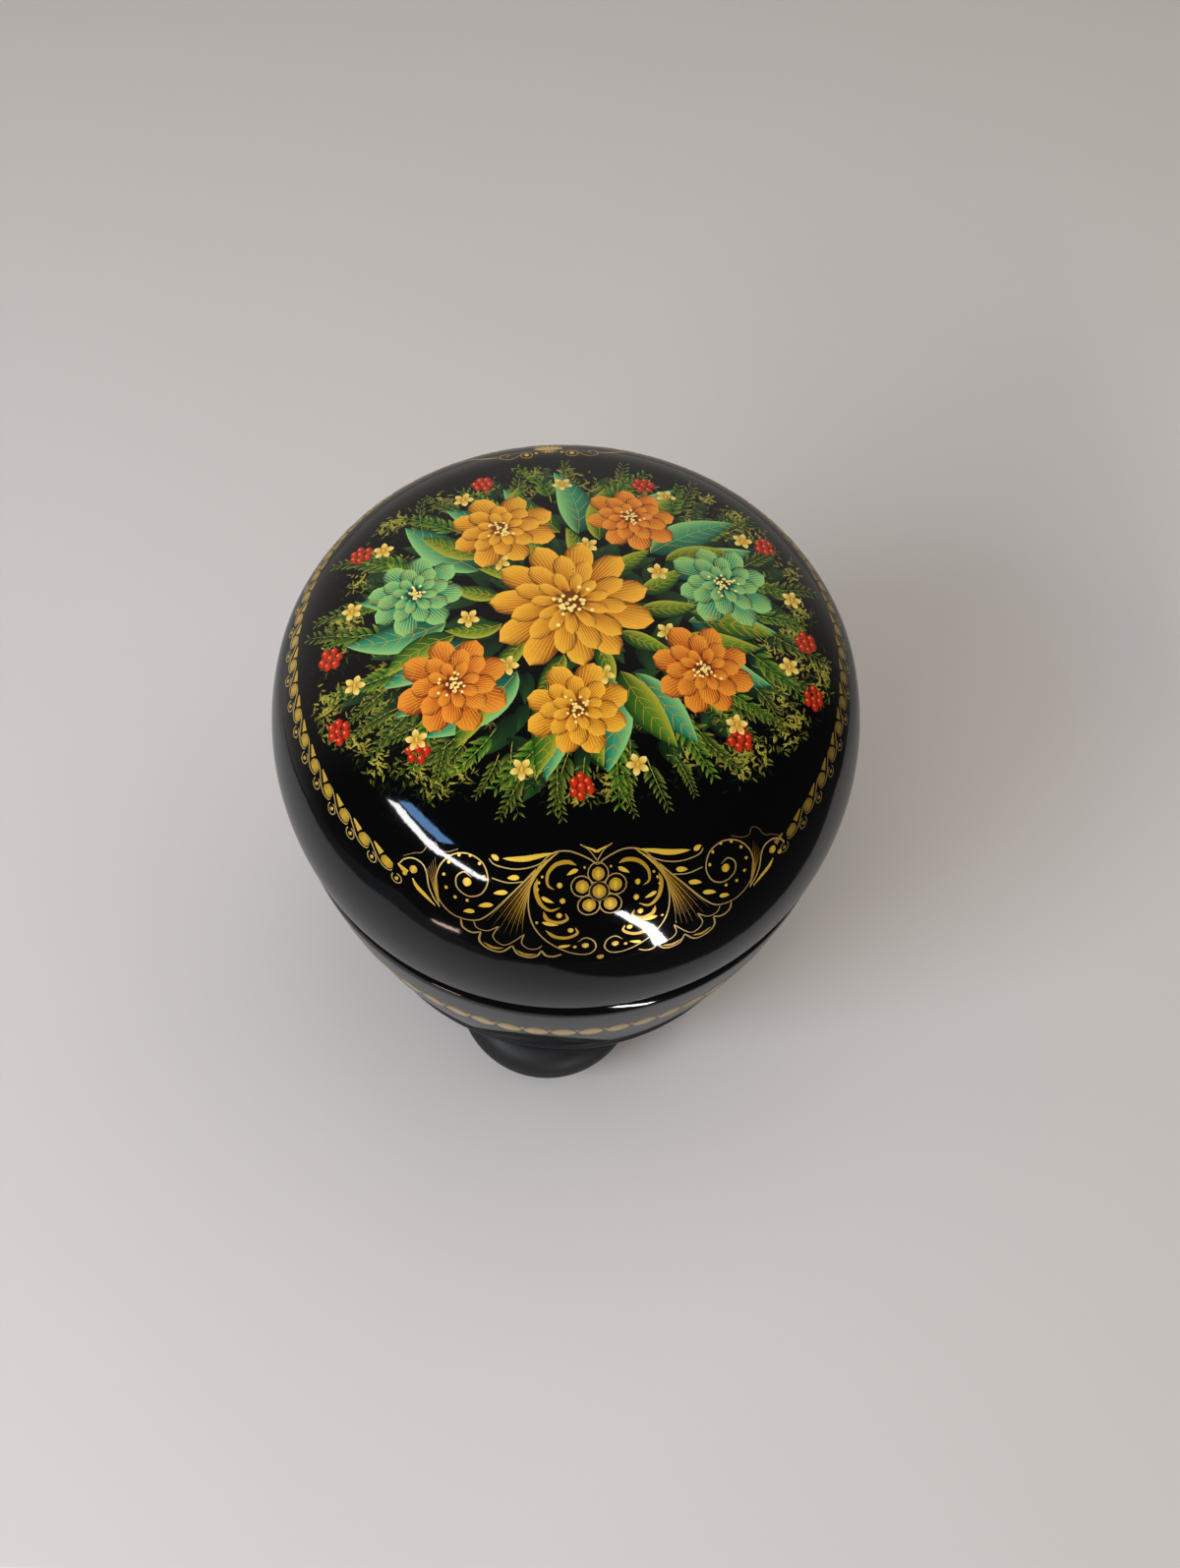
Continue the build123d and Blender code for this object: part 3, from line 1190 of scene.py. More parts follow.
@dataclass
class FrontPanel:
    """Gold scrollwork at the front of the lid, mirrored about its middle, between the chain's ends."""

    brush: Brushwork
    top: float = 38.6
    line: float = 0.125
    lean: float = 0.03

    def below(self, points: Union[np.ndarray, Points]) -> np.ndarray:
        """Points given from the panel's top, as painting coordinates."""
        return np.asarray(points, float) + np.array([0.0, self.top])

    def both(self, path: np.ndarray, half: Amount, tone: Tint, lift: float = 0.07) -> None:
        """Strokes and their mirror images, the whole leaning as a hand leans it."""
        self.brush.mirrored(path, half, tone, lift, lean=self.lean)

    def stroke(self, points: Points, steps: int, half: Amount, tone: Tint, lift: float = 0.07) -> None:
        """A line through points given from the panel's top, and its mirror image."""
        self.both(self.below(flowing(points, steps)), half, tone, lift)

    def leaves(self, rows: Points, bend: float, half: np.ndarray) -> None:
        """Full leaves and their mirror images.

        Args:
            rows: The foot's x and y from the panel's top, the heading in degrees and the length of each.
            bend: Sideways drift as a share of the length.
            half: Half-widths along a leaf.
        """
        table = np.array(rows)
        start, heading, length = self.below(table[:, :2]), np.radians(table[:, 2]), table[:, 3]
        self.both(swept(start, heading, length, bend, len(half)), half, GOLD.light, 0.08)

    def spots(self, places: Union[np.ndarray, Points], size: Amount) -> None:
        """Gold dabs and their mirror images.

        Args:
            places: Middles of the dabs on the right side, from the panel's top.
            size: Their radii.
        """
        size = np.broadcast_to(size, len(places))
        spots = doubled(self.below(places), self.lean)
        self.brush.dots(spots, np.concatenate([size, size]), GOLD.light, 0.08, GOLD.middle)

    def paint(self) -> None:
        """Lay the parts of the panel one after another."""
        for part in (self.heart, self.flower, self.fans, self.scrolls, self.scallops):
            part()

    def heart(self) -> None:
        """Heart line that ends in two scrolls at the bottom, a wedge over it and curls within it."""
        line = self.line
        heart = [
            (0.0, 2.6), (1.5, 1.6), (4.3, 0.7), (6.9, 1.1), (8.7, 2.9), (9.8, 5.6), (10.0, 8.3), (9.6, 11.0),
            (8.7, 13.3), (7.2, 15.4), (5.2, 17.1), (3.2, 18.1), (1.5, 18.1), (0.6, 16.8), (0.9, 15.2),
            (2.0, 14.5), (3.0, 15.3),
        ]
        self.stroke(heart, 90, line * 1.15 * taper(90, 0.02, 0.05), PALE_GOLD.middle)
        self.stroke([(2.6, -0.3), (1.2, 0.5), (0.0, 2.0)], 10, line * 0.9, PALE_GOLD.middle)
        wedge = 0.3 * np.linspace(1.0, 0.1, 8)
        self.stroke([(0.05, 0.75), (1.0, 0.3), (2.5, -0.15)], 8, wedge, GOLD.light, 0.06)
        curls = (
            ([(3.2, 2.6), (4.6, 2.2), (6.4, 2.7), (7.5, 4.1), (7.4, 5.7), (6.4, 6.3)], (5.7, 5.6)),
            ([(9.0, 4.9), (9.1, 6.6), (8.3, 8.6), (6.9, 9.6), (5.5, 9.0)], (5.2, 7.9)),
            ([(7.8, 9.9), (7.2, 11.2), (5.7, 11.6), (4.5, 10.9), (4.8, 9.9)], (5.6, 10.3)),
            ([(7.4, 13.2), (6.1, 14.4), (4.4, 14.5), (3.1, 13.5), (3.4, 12.4)], (4.0, 12.9)),
        )
        swell = (line + 0.30 * spindle(24, 1.0, 0.6)) * taper(24, 0.12, 0.1)
        for points, eye in curls:
            self.stroke(points, 24, swell, GOLD.middle)
            self.spots([eye], 0.42)
        rows = [
            (8.2, 7.6, 150.0, 1.9), (7.9, 11.8, 165.0, 2.2), (5.6, 16.6, 190.0, 1.7), (3.0, 3.2, 20.0, 1.9),
        ]
        self.leaves(rows, 0.15, 0.42 * spindle(8, 0.8, 0.7))
        dabs = [(8.3, 4.6), (8.7, 5.5), (8.8, 6.5), (2.0, 2.9), (8.6, 11.9), (2.0, 16.1), (3.4, 16.4)]
        self.spots(dabs, np.array([0.2, 0.22, 0.2, 0.18, 0.2, 0.5, 0.25]))
        self.spots([(0.0, 18.9)], 0.5)

    def flower(self) -> None:
        """Five round petals outlined about a ringed eye."""
        brush = self.brush
        middle = self.below([(0.0, 6.4)])
        spoke = compass(np.radians(-90.0 + 72.0 * np.arange(5)))
        brush.rings(middle + 2.62 * spoke, 1.55, self.line, PALE_GOLD.middle, 0.06)
        brush.dots(middle + 2.55 * spoke, 0.98, GOLD.middle, 0.07)
        brush.dots(middle + 2.5 * spoke, 0.6, GOLD.light, 0.08, GOLD.middle)
        brush.dots(middle, 1.5, BARE, 0.075)
        brush.rings(middle, 1.42, self.line, PALE_GOLD.middle, 0.09)
        brush.dots(middle, 1.04, GOLD.middle, 0.09)
        brush.dots(middle, 0.62, GOLD.light, 0.10, GOLD.middle)

    def fans(self) -> None:
        """Fans of single strands beside the heart with full leaves along their tops.

        A strand is head (1-s)^2 + 2 waist s (1-s) + foot s^2, and head, waist and foot move
        evenly from the first strand to the last.
        """
        share = np.linspace(0.0, 1.0, 13)[:, None]
        s = np.linspace(0.0, 1.0, 14)[None, :, None]
        head = np.array([6.0, 0.9]) + share * np.array([3.4, 2.6])
        waist = np.array([11.2, 4.6]) + share * np.array([-0.6, 3.6])
        bow = np.array([0.0, 1.4]) * np.sin(np.pi * share)
        foot = np.array([15.4, 13.4]) + share * np.array([-4.9, 0.9]) + bow
        head, waist, foot = head[:, None], waist[:, None], foot[:, None]
        hair = self.below(head * (1 - s) ** 2 + 2 * waist * s * (1 - s) + foot * s**2)
        fine = 0.17 * taper(14, 0.1, 0.9)
        self.both(hair[::2], fine, ramp([GOLD.light, GOLD.middle, GOLD.middle, GOLD.deep], 14), 0.06)
        self.both(hair[1::2, :12], 0.7 * fine[:12], ramp([GOLD.middle, GOLD.deep, GOLD.deep], 12), 0.05)
        tops = (
            ([(6.0, 0.9), (8.6, 1.6), (11.4, 2.5), (14.6, 3.1)], 0.55 * spindle(16, 0.7, 1.5), GOLD.light),
            ([(7.6, 2.1), (10.2, 3.5), (12.8, 4.2), (15.6, 4.2), (16.6, 3.6)], self.line, PALE_GOLD.middle),
            ([(10.9, 5.7), (13.2, 6.3), (15.6, 6.2)], self.line, PALE_GOLD.middle),
        )
        for points, half, tone in tops:
            self.stroke(points, 16, half, tone, 0.08)
        rows = [
            (15.1, 3.4, -20.0, 1.4), (11.6, 5.2, 10.0, 1.8), (13.0, 7.7, 15.0, 2.1), (14.8, 10.2, 20.0, 2.2),
            (17.2, 12.2, 20.0, 1.7),
        ]
        self.leaves(rows, 0.1, 0.52 * spindle(8, 0.7, 0.8))

    def scrolls(self) -> None:
        """Large side scrolls that grow out of the fans, dabs round their eyes and outer leaf tufts."""
        line = self.line
        scroll = [
            (9.4, 3.6), (10.9, 5.7), (12.3, 7.6), (13.6, 9.6), (15.0, 11.8), (16.6, 13.7), (18.6, 14.4),
            (20.6, 14.1), (22.4, 12.5), (23.4, 10.2), (23.5, 7.2), (22.2, 4.9), (19.9, 3.9), (17.4, 4.5),
            (16.1, 6.6), (16.6, 8.9), (18.3, 10.0), (20.1, 9.4), (20.7, 7.8), (19.8, 6.6), (18.5, 7.0),
        ]
        self.stroke(scroll, 120, line * 1.15 * taper(120, 0.02, 0.03), PALE_GOLD.middle)
        self.spots([(19.0, 7.9)], 0.66)
        ring = compass(np.radians(np.arange(-160.0, 140.0, 34.0))) * np.array([3.0, 3.5])
        self.spots(np.array([19.6, 7.5]) + ring, 0.25)
        tuft = fan((22.3, self.top + 13.4), np.linspace(-78.0, -66.0, 5), np.linspace(7.4, 5.6, 5), 0.1, 10)
        self.both(tuft, 0.13 * taper(10, 0.1, 0.8), ramp([GOLD.middle, GOLD.middle, GOLD.deep], 10), 0.05)
        arch = [
            (29.4, 10.1), (28.9, 9.0), (27.6, 8.1), (26.0, 8.2), (25.0, 9.3), (24.3, 11.0), (23.2, 12.7),
            (22.2, 13.8),
        ]
        self.stroke(arch, 40, line * 1.1, PALE_GOLD.light)
        self.spots([(27.1, 9.7), (28.2, 11.0)], np.array([0.62, 0.4]))
        leaf = [(26.9, 11.2), (25.9, 12.2), (24.6, 12.9), (22.8, 14.0)]
        self.stroke(leaf, 14, 0.5 * spindle(14, 0.7, 1.0), GOLD.light)
        crest = [
            (21.6, 3.8), (23.0, 4.8), (24.3, 5.1), (25.2, 4.4), (26.1, 5.0), (26.7, 6.6), (27.8, 7.3),
            (29.2, 8.6),
        ]
        self.stroke(crest, 36, line * 0.65, PALE_GOLD.deep)

    def scallops(self) -> None:
        """Scalloped lower edge: outer bows and inner cusps that meet in points, with gold between them."""
        outer = (
            [(19.0, 14.7), (18.6, 16.2), (17.3, 16.7), (16.1, 16.0)],
            [(16.1, 16.0), (16.2, 18.1), (15.0, 19.4), (13.2, 19.5), (11.7, 17.5)],
            [(11.7, 17.5), (11.0, 19.2), (9.6, 19.7), (8.4, 19.1), (7.8, 17.7)],
            [(7.8, 17.7), (7.2, 18.8), (6.2, 18.9), (5.2, 18.3)],
        )
        inner = (
            [(17.2, 14.3), (16.6, 15.4), (15.2, 15.4), (13.7, 13.9)],
            [(13.7, 13.9), (14.4, 16.2), (13.6, 17.5), (12.4, 17.5), (10.2, 14.6)],
            [(10.2, 14.6), (10.5, 16.5), (9.6, 17.6), (8.4, 17.4), (7.8, 16.6)],
        )
        swell = self.line * 1.1 + 0.10 * spindle(20, 1.0, 1.0)
        for bows, half in ((outer, swell), (inner, self.line * 0.85)):
            for bow in bows:
                self.stroke(bow, 20, half, PALE_GOLD.middle)
        fill = self.below(flowing([(15.6, 18.2), (14.3, 18.9), (12.9, 18.5)], 8))
        pair = np.concatenate([fill, fill + np.array([-4.4, 0.2])])
        self.both(pair, 0.38 * spindle(8, 0.8, 1.0), GOLD.middle, 0.05)


@dataclass
class BackMotif:
    """Small gold palmette at the back of the lid between two ringed dots."""

    brush: Brushwork
    along: float = 39.4
    line: float = 0.15

    def paint(self) -> None:
        """Lay a fan of leaves, a cup, ringed dots and scrolls on either side."""
        brush = self.brush
        back = np.array([np.pi * brush.radius, self.along])
        root = back + np.array([0.0, -0.4])
        spread = np.linspace(20.0, 160.0, 9)
        leaves = fan(root, spread, 2.6 + 1.2 * np.sin(np.radians(spread)), 0.0, 8)
        brush.lay(leaves, 0.44 * spindle(8, 0.7, 1.2), GOLD.light, lift=0.07)
        cup = fan(root, np.linspace(-30.0, -150.0, 5), np.array([2.0, 1.8, 1.6, 1.8, 2.0]), 0.0, 7)
        brush.lay(cup, 0.32 * spindle(7), GOLD.middle, lift=0.07)
        scroll = flowing([(5.9, -1.6), (8.2, -2.6), (9.9, -1.4), (9.0, 0.0), (7.9, -0.6), (8.6, -1.5)], 26)
        swash = flowing([(9.9, -1.0), (13.0, 0.6), (16.0, 3.6), (19.5, 5.6)], 18)
        for flip in (MIRROR, np.ones(2)):
            eye, dab = (back + flip * np.array([place]) for place in ((4.6, -1.9), (2.6, -1.6)))
            brush.rings(eye, 1.2, self.line, GOLD.middle)
            brush.dots(eye, 0.48, GOLD.light)
            brush.dots(dab, 0.32, GOLD.light)
            brush.lay(back + scroll * flip, self.line, GOLD.middle)
            brush.lay(back + swash * flip, 0.4 * spindle(18, 0.7, 0.8), GOLD.middle)


@dataclass
class BodyChain:
    """Row of dull gold almonds round the bowl with a small dab in each gap."""

    brush: Brushwork
    height: float = 46.2
    count: int = 63
    thick: float = 3.1
    share: float = 0.92

    def paint(self) -> None:
        """Lay the almonds end to end and the dabs between them."""
        brush, skin = self.brush, self.brush.skin
        outside = skin.run < skin.run[np.argmin(skin.at[:, 1])]
        along = np.interp(-self.height, -skin.at[outside, 1], skin.run[outside])
        step = 2.0 * np.pi * brush.radius / self.count
        place = np.stack([step * np.arange(self.count), np.full(self.count, along)], -1)
        almond = swept(place - np.array([0.5 * self.share * step, 0.0]), 0.0, self.share * step, 0.0, 13)
        shades = (DULL_GOLD.deep, DULL_GOLD.middle)
        brush.lay(almond, self.thick * spindle(13, 0.6, 1.0), DULL_GOLD.light, shades, ribs=7)
        brush.dots(place + np.array([0.5 * step, -1.5]), 0.34, DULL_GOLD.middle, shape=2.2)


@dataclass
class Bouquet:
    """Painted bouquet on the crown: blossoms, leaves, sprigs and berries in varnished folk colours.

    petals takes blossoms and berries, green the foliage, ground the shaded leaves and stippling.
    All three are strokes in the disc chart.
    """

    petals: Brushwork
    green: Brushwork
    ground: Brushwork
    seed: int = 11
    oval: tuple[float, float] = (1.22, 0.97)
    hair: float = 0.055
    shaded: int = 190
    dabs: int = 66
    clump: float = 1.75
    dice: np.random.Generator = field(init=False)

    def __post_init__(self) -> None:
        """Start the seeded dice that vary the hand."""
        self.dice = np.random.default_rng(self.seed)

    def ring(
        self, count: int, reach: float, start: float, wobble: float = 0.6
    ) -> tuple[np.ndarray, np.ndarray]:
        """Places round the crown on an oval, slightly uneven.

        Args:
            count: Number of places.
            reach: Distance from the middle.
            start: Heading of the first place in degrees.
            wobble: Unevenness in millimetres.

        Returns:
            Places and their outward headings.
        """
        angle = np.radians(start + 360.0 * np.arange(count) / count)
        place = reach * (compass(angle) * self.oval)
        return place + self.dice.normal(0.0, wobble, place.shape), angle

    def grown(
        self,
        lay: Callable[..., None],
        ring: tuple[np.ndarray, np.ndarray],
        sway: float,
        lengths: tuple[float, float],
        tone: Tone,
        lift: float,
    ) -> None:
        """Lay sprigs or leaves outwards from a ring of places, uneven in heading and length.

        Args:
            lay: The method that lays them.
            ring: Places and their outward headings.
            sway: Unevenness of the headings in radians.
            lengths: Least and greatest length.
            tone: Paint.
            lift: Height above the skin.
        """
        place, angle = ring
        heading = angle + self.dice.normal(0.0, sway, len(place))
        lay(place, heading, self.dice.uniform(*lengths, len(place)), tone, lift)

    def paint(self) -> None:
        """Lay the ground, the foliage from the outside in, the blossoms over it and the front's fringe."""
        self.shade()
        clumps = [self.ring(*ring)[0] for ring in ((30, 30.2, 3.0, 1.5), (20, 25.5, 9.0, 1.8))]
        self.thicket(np.concatenate(clumps), 33.6)
        rounds = (
            (self.sprigs, (22, 24.5, 4.0), 0.22, (8.5, 11.5), SHADE, 0.030),
            (self.sprigs, (19, 22.5, 14.0), 0.3, (8.5, 12.0), LEAF, 0.040),
            (self.leaves, (18, 14.5, 0.0), 0.16, (13.5, 17.5), TEAL, 0.050),
            (self.leaves, (18, 15.0, 11.0), 0.22, (11.0, 14.5), LEAF, 0.062),
            (self.leaves, (12, 8.5, 15.0), 0.2, (7.0, 9.0), LEAF, 0.052),
        )
        for lay, ring, sway, lengths, tone, lift in rounds:
            self.grown(lay, self.ring(*ring), sway, lengths, tone, lift)
        self.berries(*self.ring(9, 31.0, 28.0))
        for ring in ((13, 29.0, 5.0), (7, 12.9, 25.0)):
            self.stars(self.ring(*ring)[0])
        places, turns = self.ring(7, 20.0, 12.0)[0], self.dice.uniform(0.0, 1.0, 7)
        sizes = (8.3, 7.6, 8.5, 7.8, 8.4, 7.6, 8.0)
        tones = (TEAL, ORANGE, AMBER, TEAL, ORANGE, AMBER, ORANGE)
        for place, size, tone, turn in zip(places, sizes, tones, turns):
            self.blossom(place, size, 8, tone, turn, 0.076)
        self.blossom(np.array([0.0, 0.3]), 12.4, 11, AMBER, 0.2, 0.092)
        angle = np.radians(np.linspace(-155.0, -25.0, 17))
        place = 26.5 * (compass(angle) * (1.16, 1.0))
        place = place + self.dice.normal(0.0, 0.7, place.shape)
        self.grown(self.sprigs, (place, angle), 0.35, (6.0, 8.0), SHADE, 0.034)
        angle = np.radians(np.concatenate([np.linspace(-158.0, -122.0, 6), np.linspace(-58.0, -22.0, 6)]))
        place = 34.0 * (compass(angle) * self.oval)
        self.thicket(place + self.dice.normal(0.0, 0.8, place.shape), 36.5)
        self.berries(place[[1, 10]], angle[[1, 10]])

    def shade(self) -> None:
        """Dark leaves that fill the ground of the picture, evenly strewn over the oval."""
        count = self.shaded
        reach = 27.0 * np.sqrt(self.dice.uniform(0.03, 1.0, count))
        angle = self.dice.uniform(0.0, 2.0 * np.pi, count)
        start = reach[:, None] * (compass(angle) * self.oval)
        length = self.dice.uniform(4.5, 7.5, count)
        heading = angle + self.dice.normal(0.0, 0.7, count)
        leaf = swept(start, heading, length, self.dice.normal(0.0, 0.2, count), 8)
        half = 0.24 * length[:, None] * spindle(8, 0.9, 0.8)
        lift = 0.004 + 0.00004 * np.arange(count)
        self.ground.lay(leaf, half, GLOOM.graded(8), (GLOOM.deep, GLOOM.middle), lift, ribs=3)

    def thicket(self, place: np.ndarray, limit: float) -> None:
        """Stippled foliage round the picture's rim: dabs in loose clumps, lit from the back and the middle.

        Args:
            place: Middles of the clumps.
            limit: Reach of the oval that the dabs stay within.
        """
        spread = self.dice.normal(0.0, self.clump, (len(place), self.dabs, 2))
        dabs = (place[:, None] + spread).reshape(-1, 2)
        bulk = np.linalg.norm(spread, axis=-1).ravel()
        light = 0.95 - 0.3 * bulk + 0.14 * spread[..., 1].ravel() + self.dice.normal(0.0, 0.2, len(dabs))
        keep = np.linalg.norm(dabs / self.oval, axis=1) < limit
        dabs, light = dabs[keep], np.clip(light[keep], 0.0, 1.0)
        heading = self.dice.uniform(0.0, 2.0 * np.pi, len(dabs))
        path = swept(dabs, heading, self.dice.uniform(0.7, 1.3, len(dabs)), 0.1, 4)
        low, high = np.array(SHADE.deep), np.array(SHADE.light)
        tint = low + (high - low) * light[:, None, None]
        half = 0.36 * np.array([0.35, 1.0, 0.9, 0.15])
        self.ground.lay(path, half, tint, lift=0.014 + 0.010 * light)

    def sprigs(
        self, start: np.ndarray, heading: np.ndarray, length: np.ndarray, tone: Tone, lift: float
    ) -> None:
        """Stems with paired leaflets that shorten towards the tip.

        Args:
            start: Feet of the stems.
            heading: Their headings in radians.
            length: Their lengths.
            tone: Paint.
            lift: Height above the skin.
        """
        steps, pairs = 18, 8
        stem = swept(start, heading, length, self.dice.normal(0.0, 0.16, len(start)), steps)
        self.green.lay(stem, 0.11 * taper(steps, 0.05, 0.8), tone.light, lift=lift + 0.012)
        pick = np.linspace(3, steps - 1, pairs).astype(int)
        ahead = headings(stem, pick)
        foot = stem[:, pick].reshape(-1, 2)
        size = (0.27 * length[:, None] * np.linspace(1.0, 0.45, pairs)).ravel()
        half = 0.17 * size[:, None] * spindle(8, 0.9, 0.8)
        for side, rise in ((-1.0, 0.0), (1.0, 0.004)):
            out = ahead + 0.85 * side + self.dice.normal(0.0, 0.12, ahead.shape)
            leaf = swept(foot, out.ravel(), size, -0.18 * side, 8)
            self.green.lay(leaf, half, tone.graded(8), (tone.deep, tone.middle), lift + rise, ribs=3)

    def leaves(
        self, start: np.ndarray, heading: np.ndarray, length: np.ndarray, tone: Tone, lift: float
    ) -> None:
        """Broad leaves with a dark and a light half, a gold midrib and side veins.

        Args:
            start: Feet of the leaves.
            heading: Their headings in radians.
            length: Their lengths.
            tone: Paint.
            lift: Height above the skin.
        """
        steps, pick = 16, slice(3, 14, 2)
        height = lift + 0.0006 * np.arange(len(start))
        rib = swept(start, heading, length, self.dice.normal(0.0, 0.2, len(start)), steps)
        half = 0.19 * length[:, None] * spindle(steps, 0.85, 0.8)
        tint = ramp([tone.deep, tone.middle, tone.middle], steps)
        self.green.lay(rib, half, tint, (tone.deep, tone.light), height, ribs=7)
        self.green.lay(rib[:, :-1], 0.09 * taper(steps - 1, 0.05, 0.8), GOLD.light, lift=height + 0.03)
        ahead = headings(rib, pick)
        foot, reach = rib[:, pick].reshape(-1, 2), 1.05 * half[:, pick].ravel()
        for side in (-1.0, 1.0):
            vein = swept(foot, (ahead + 0.8 * side).ravel(), reach, -0.15 * side, 6)
            rise = (height + 0.024).repeat(ahead.shape[1])
            self.green.lay(vein, self.hair * taper(6, 0.1, 0.7), GOLD.middle, lift=rise, ribs=2)

    def blossom(
        self, middle: np.ndarray, size: float, count: int, tone: Tone, turn: float, lift: float
    ) -> None:
        """Three rounds of petals, each shorter and lighter, hatched with fine lines about an eye of dots.

        Args:
            middle: The blossom's middle.
            size: Its radius.
            count: Petals in a round.
            tone: Paint.
            turn: Heading of the first petal in radians.
            lift: Height above the skin.
        """
        petals, steps, hatch = self.petals, 12, 7
        t = np.linspace(0.0, 1.0, steps)
        form = t**0.75 * (1.0 - t**3.2) ** 0.55
        start = np.tile(middle, (count, 1))
        fine = np.linspace(-0.62, 0.62, hatch) * 3.1 / count
        thin = self.hair * taper(hatch, 0.2, 0.4)
        body = ramp([tone.deep, tone.deep, tone.middle, tone.light], steps)
        for level, (share, shift) in enumerate(((1.0, 0.0), (0.74, 0.5), (0.48, 0.0))):
            even = turn + 2.0 * np.pi * (np.arange(count) + shift) / count
            angle = even + self.dice.normal(0.0, 0.05, count)
            length = size * share * self.dice.uniform(0.93, 1.05, count)
            height = lift + 0.008 * level + 0.0004 * np.arange(count)
            petal = swept(start, angle, length, 0.0, steps)
            half = length[:, None] * 3.5 / count * form
            petals.lay(petal, half, body, (tone.light, tone.deep), height, ribs=7)
            reach = length[:, None] * (0.93 - 1.6 * fine**2)
            lines = swept(start.repeat(hatch, 0), (angle[:, None] + fine).ravel(), reach.ravel(), 0.0, steps)
            bright = ramp([tone.middle, tone.light, GOLD.light], hatch)
            petals.lay(lines[:, -hatch:], thin, bright, lift=height.repeat(hatch) + 0.004, ribs=2)
        grains = self.dice.normal(0.0, 0.11 * size, (26, 2))
        petals.dots(middle[None], 0.17 * size, tone.deep, lift + 0.030)
        petals.dots(middle + grains, 0.022 * size + 0.06, CREAM.light, lift + 0.036)

    def berries(self, place: np.ndarray, heading: np.ndarray) -> None:
        """Clusters of seven red berries with a small light on each.

        Args:
            place: Middles of the clusters.
            heading: Headings by which the clusters are turned.
        """
        ring = 1.35 * compass(heading[:, None] + np.radians(60.0 * np.arange(6)))
        spots = np.concatenate([place[:, None] + ring, place[:, None]], 1).reshape(-1, 2)
        spots = spots + self.dice.normal(0.0, 0.12, spots.shape)
        self.petals.dots(spots, self.dice.uniform(0.66, 0.86, len(spots)), RED.middle, 0.055, RED.deep)
        self.petals.dots(spots + np.array([-0.2, 0.25]), 0.2, RED.light, 0.062)

    def stars(self, place: np.ndarray) -> None:
        """Small pale flowers of five dabs about a gold eye.

        Args:
            place: Their middles.
        """
        spin = np.radians(72.0 * np.arange(5)) + self.dice.uniform(0.0, 1.2, (len(place), 1))
        petal = swept(place.repeat(5, 0), spin.ravel(), 1.75, 0.0, 8)
        self.petals.lay(petal, 0.55 * spindle(8, 0.7, 1.3), CREAM.graded(8), ribs=3)
        self.petals.dots(place, 0.42, GOLD.light, 0.068, GOLD.deep)


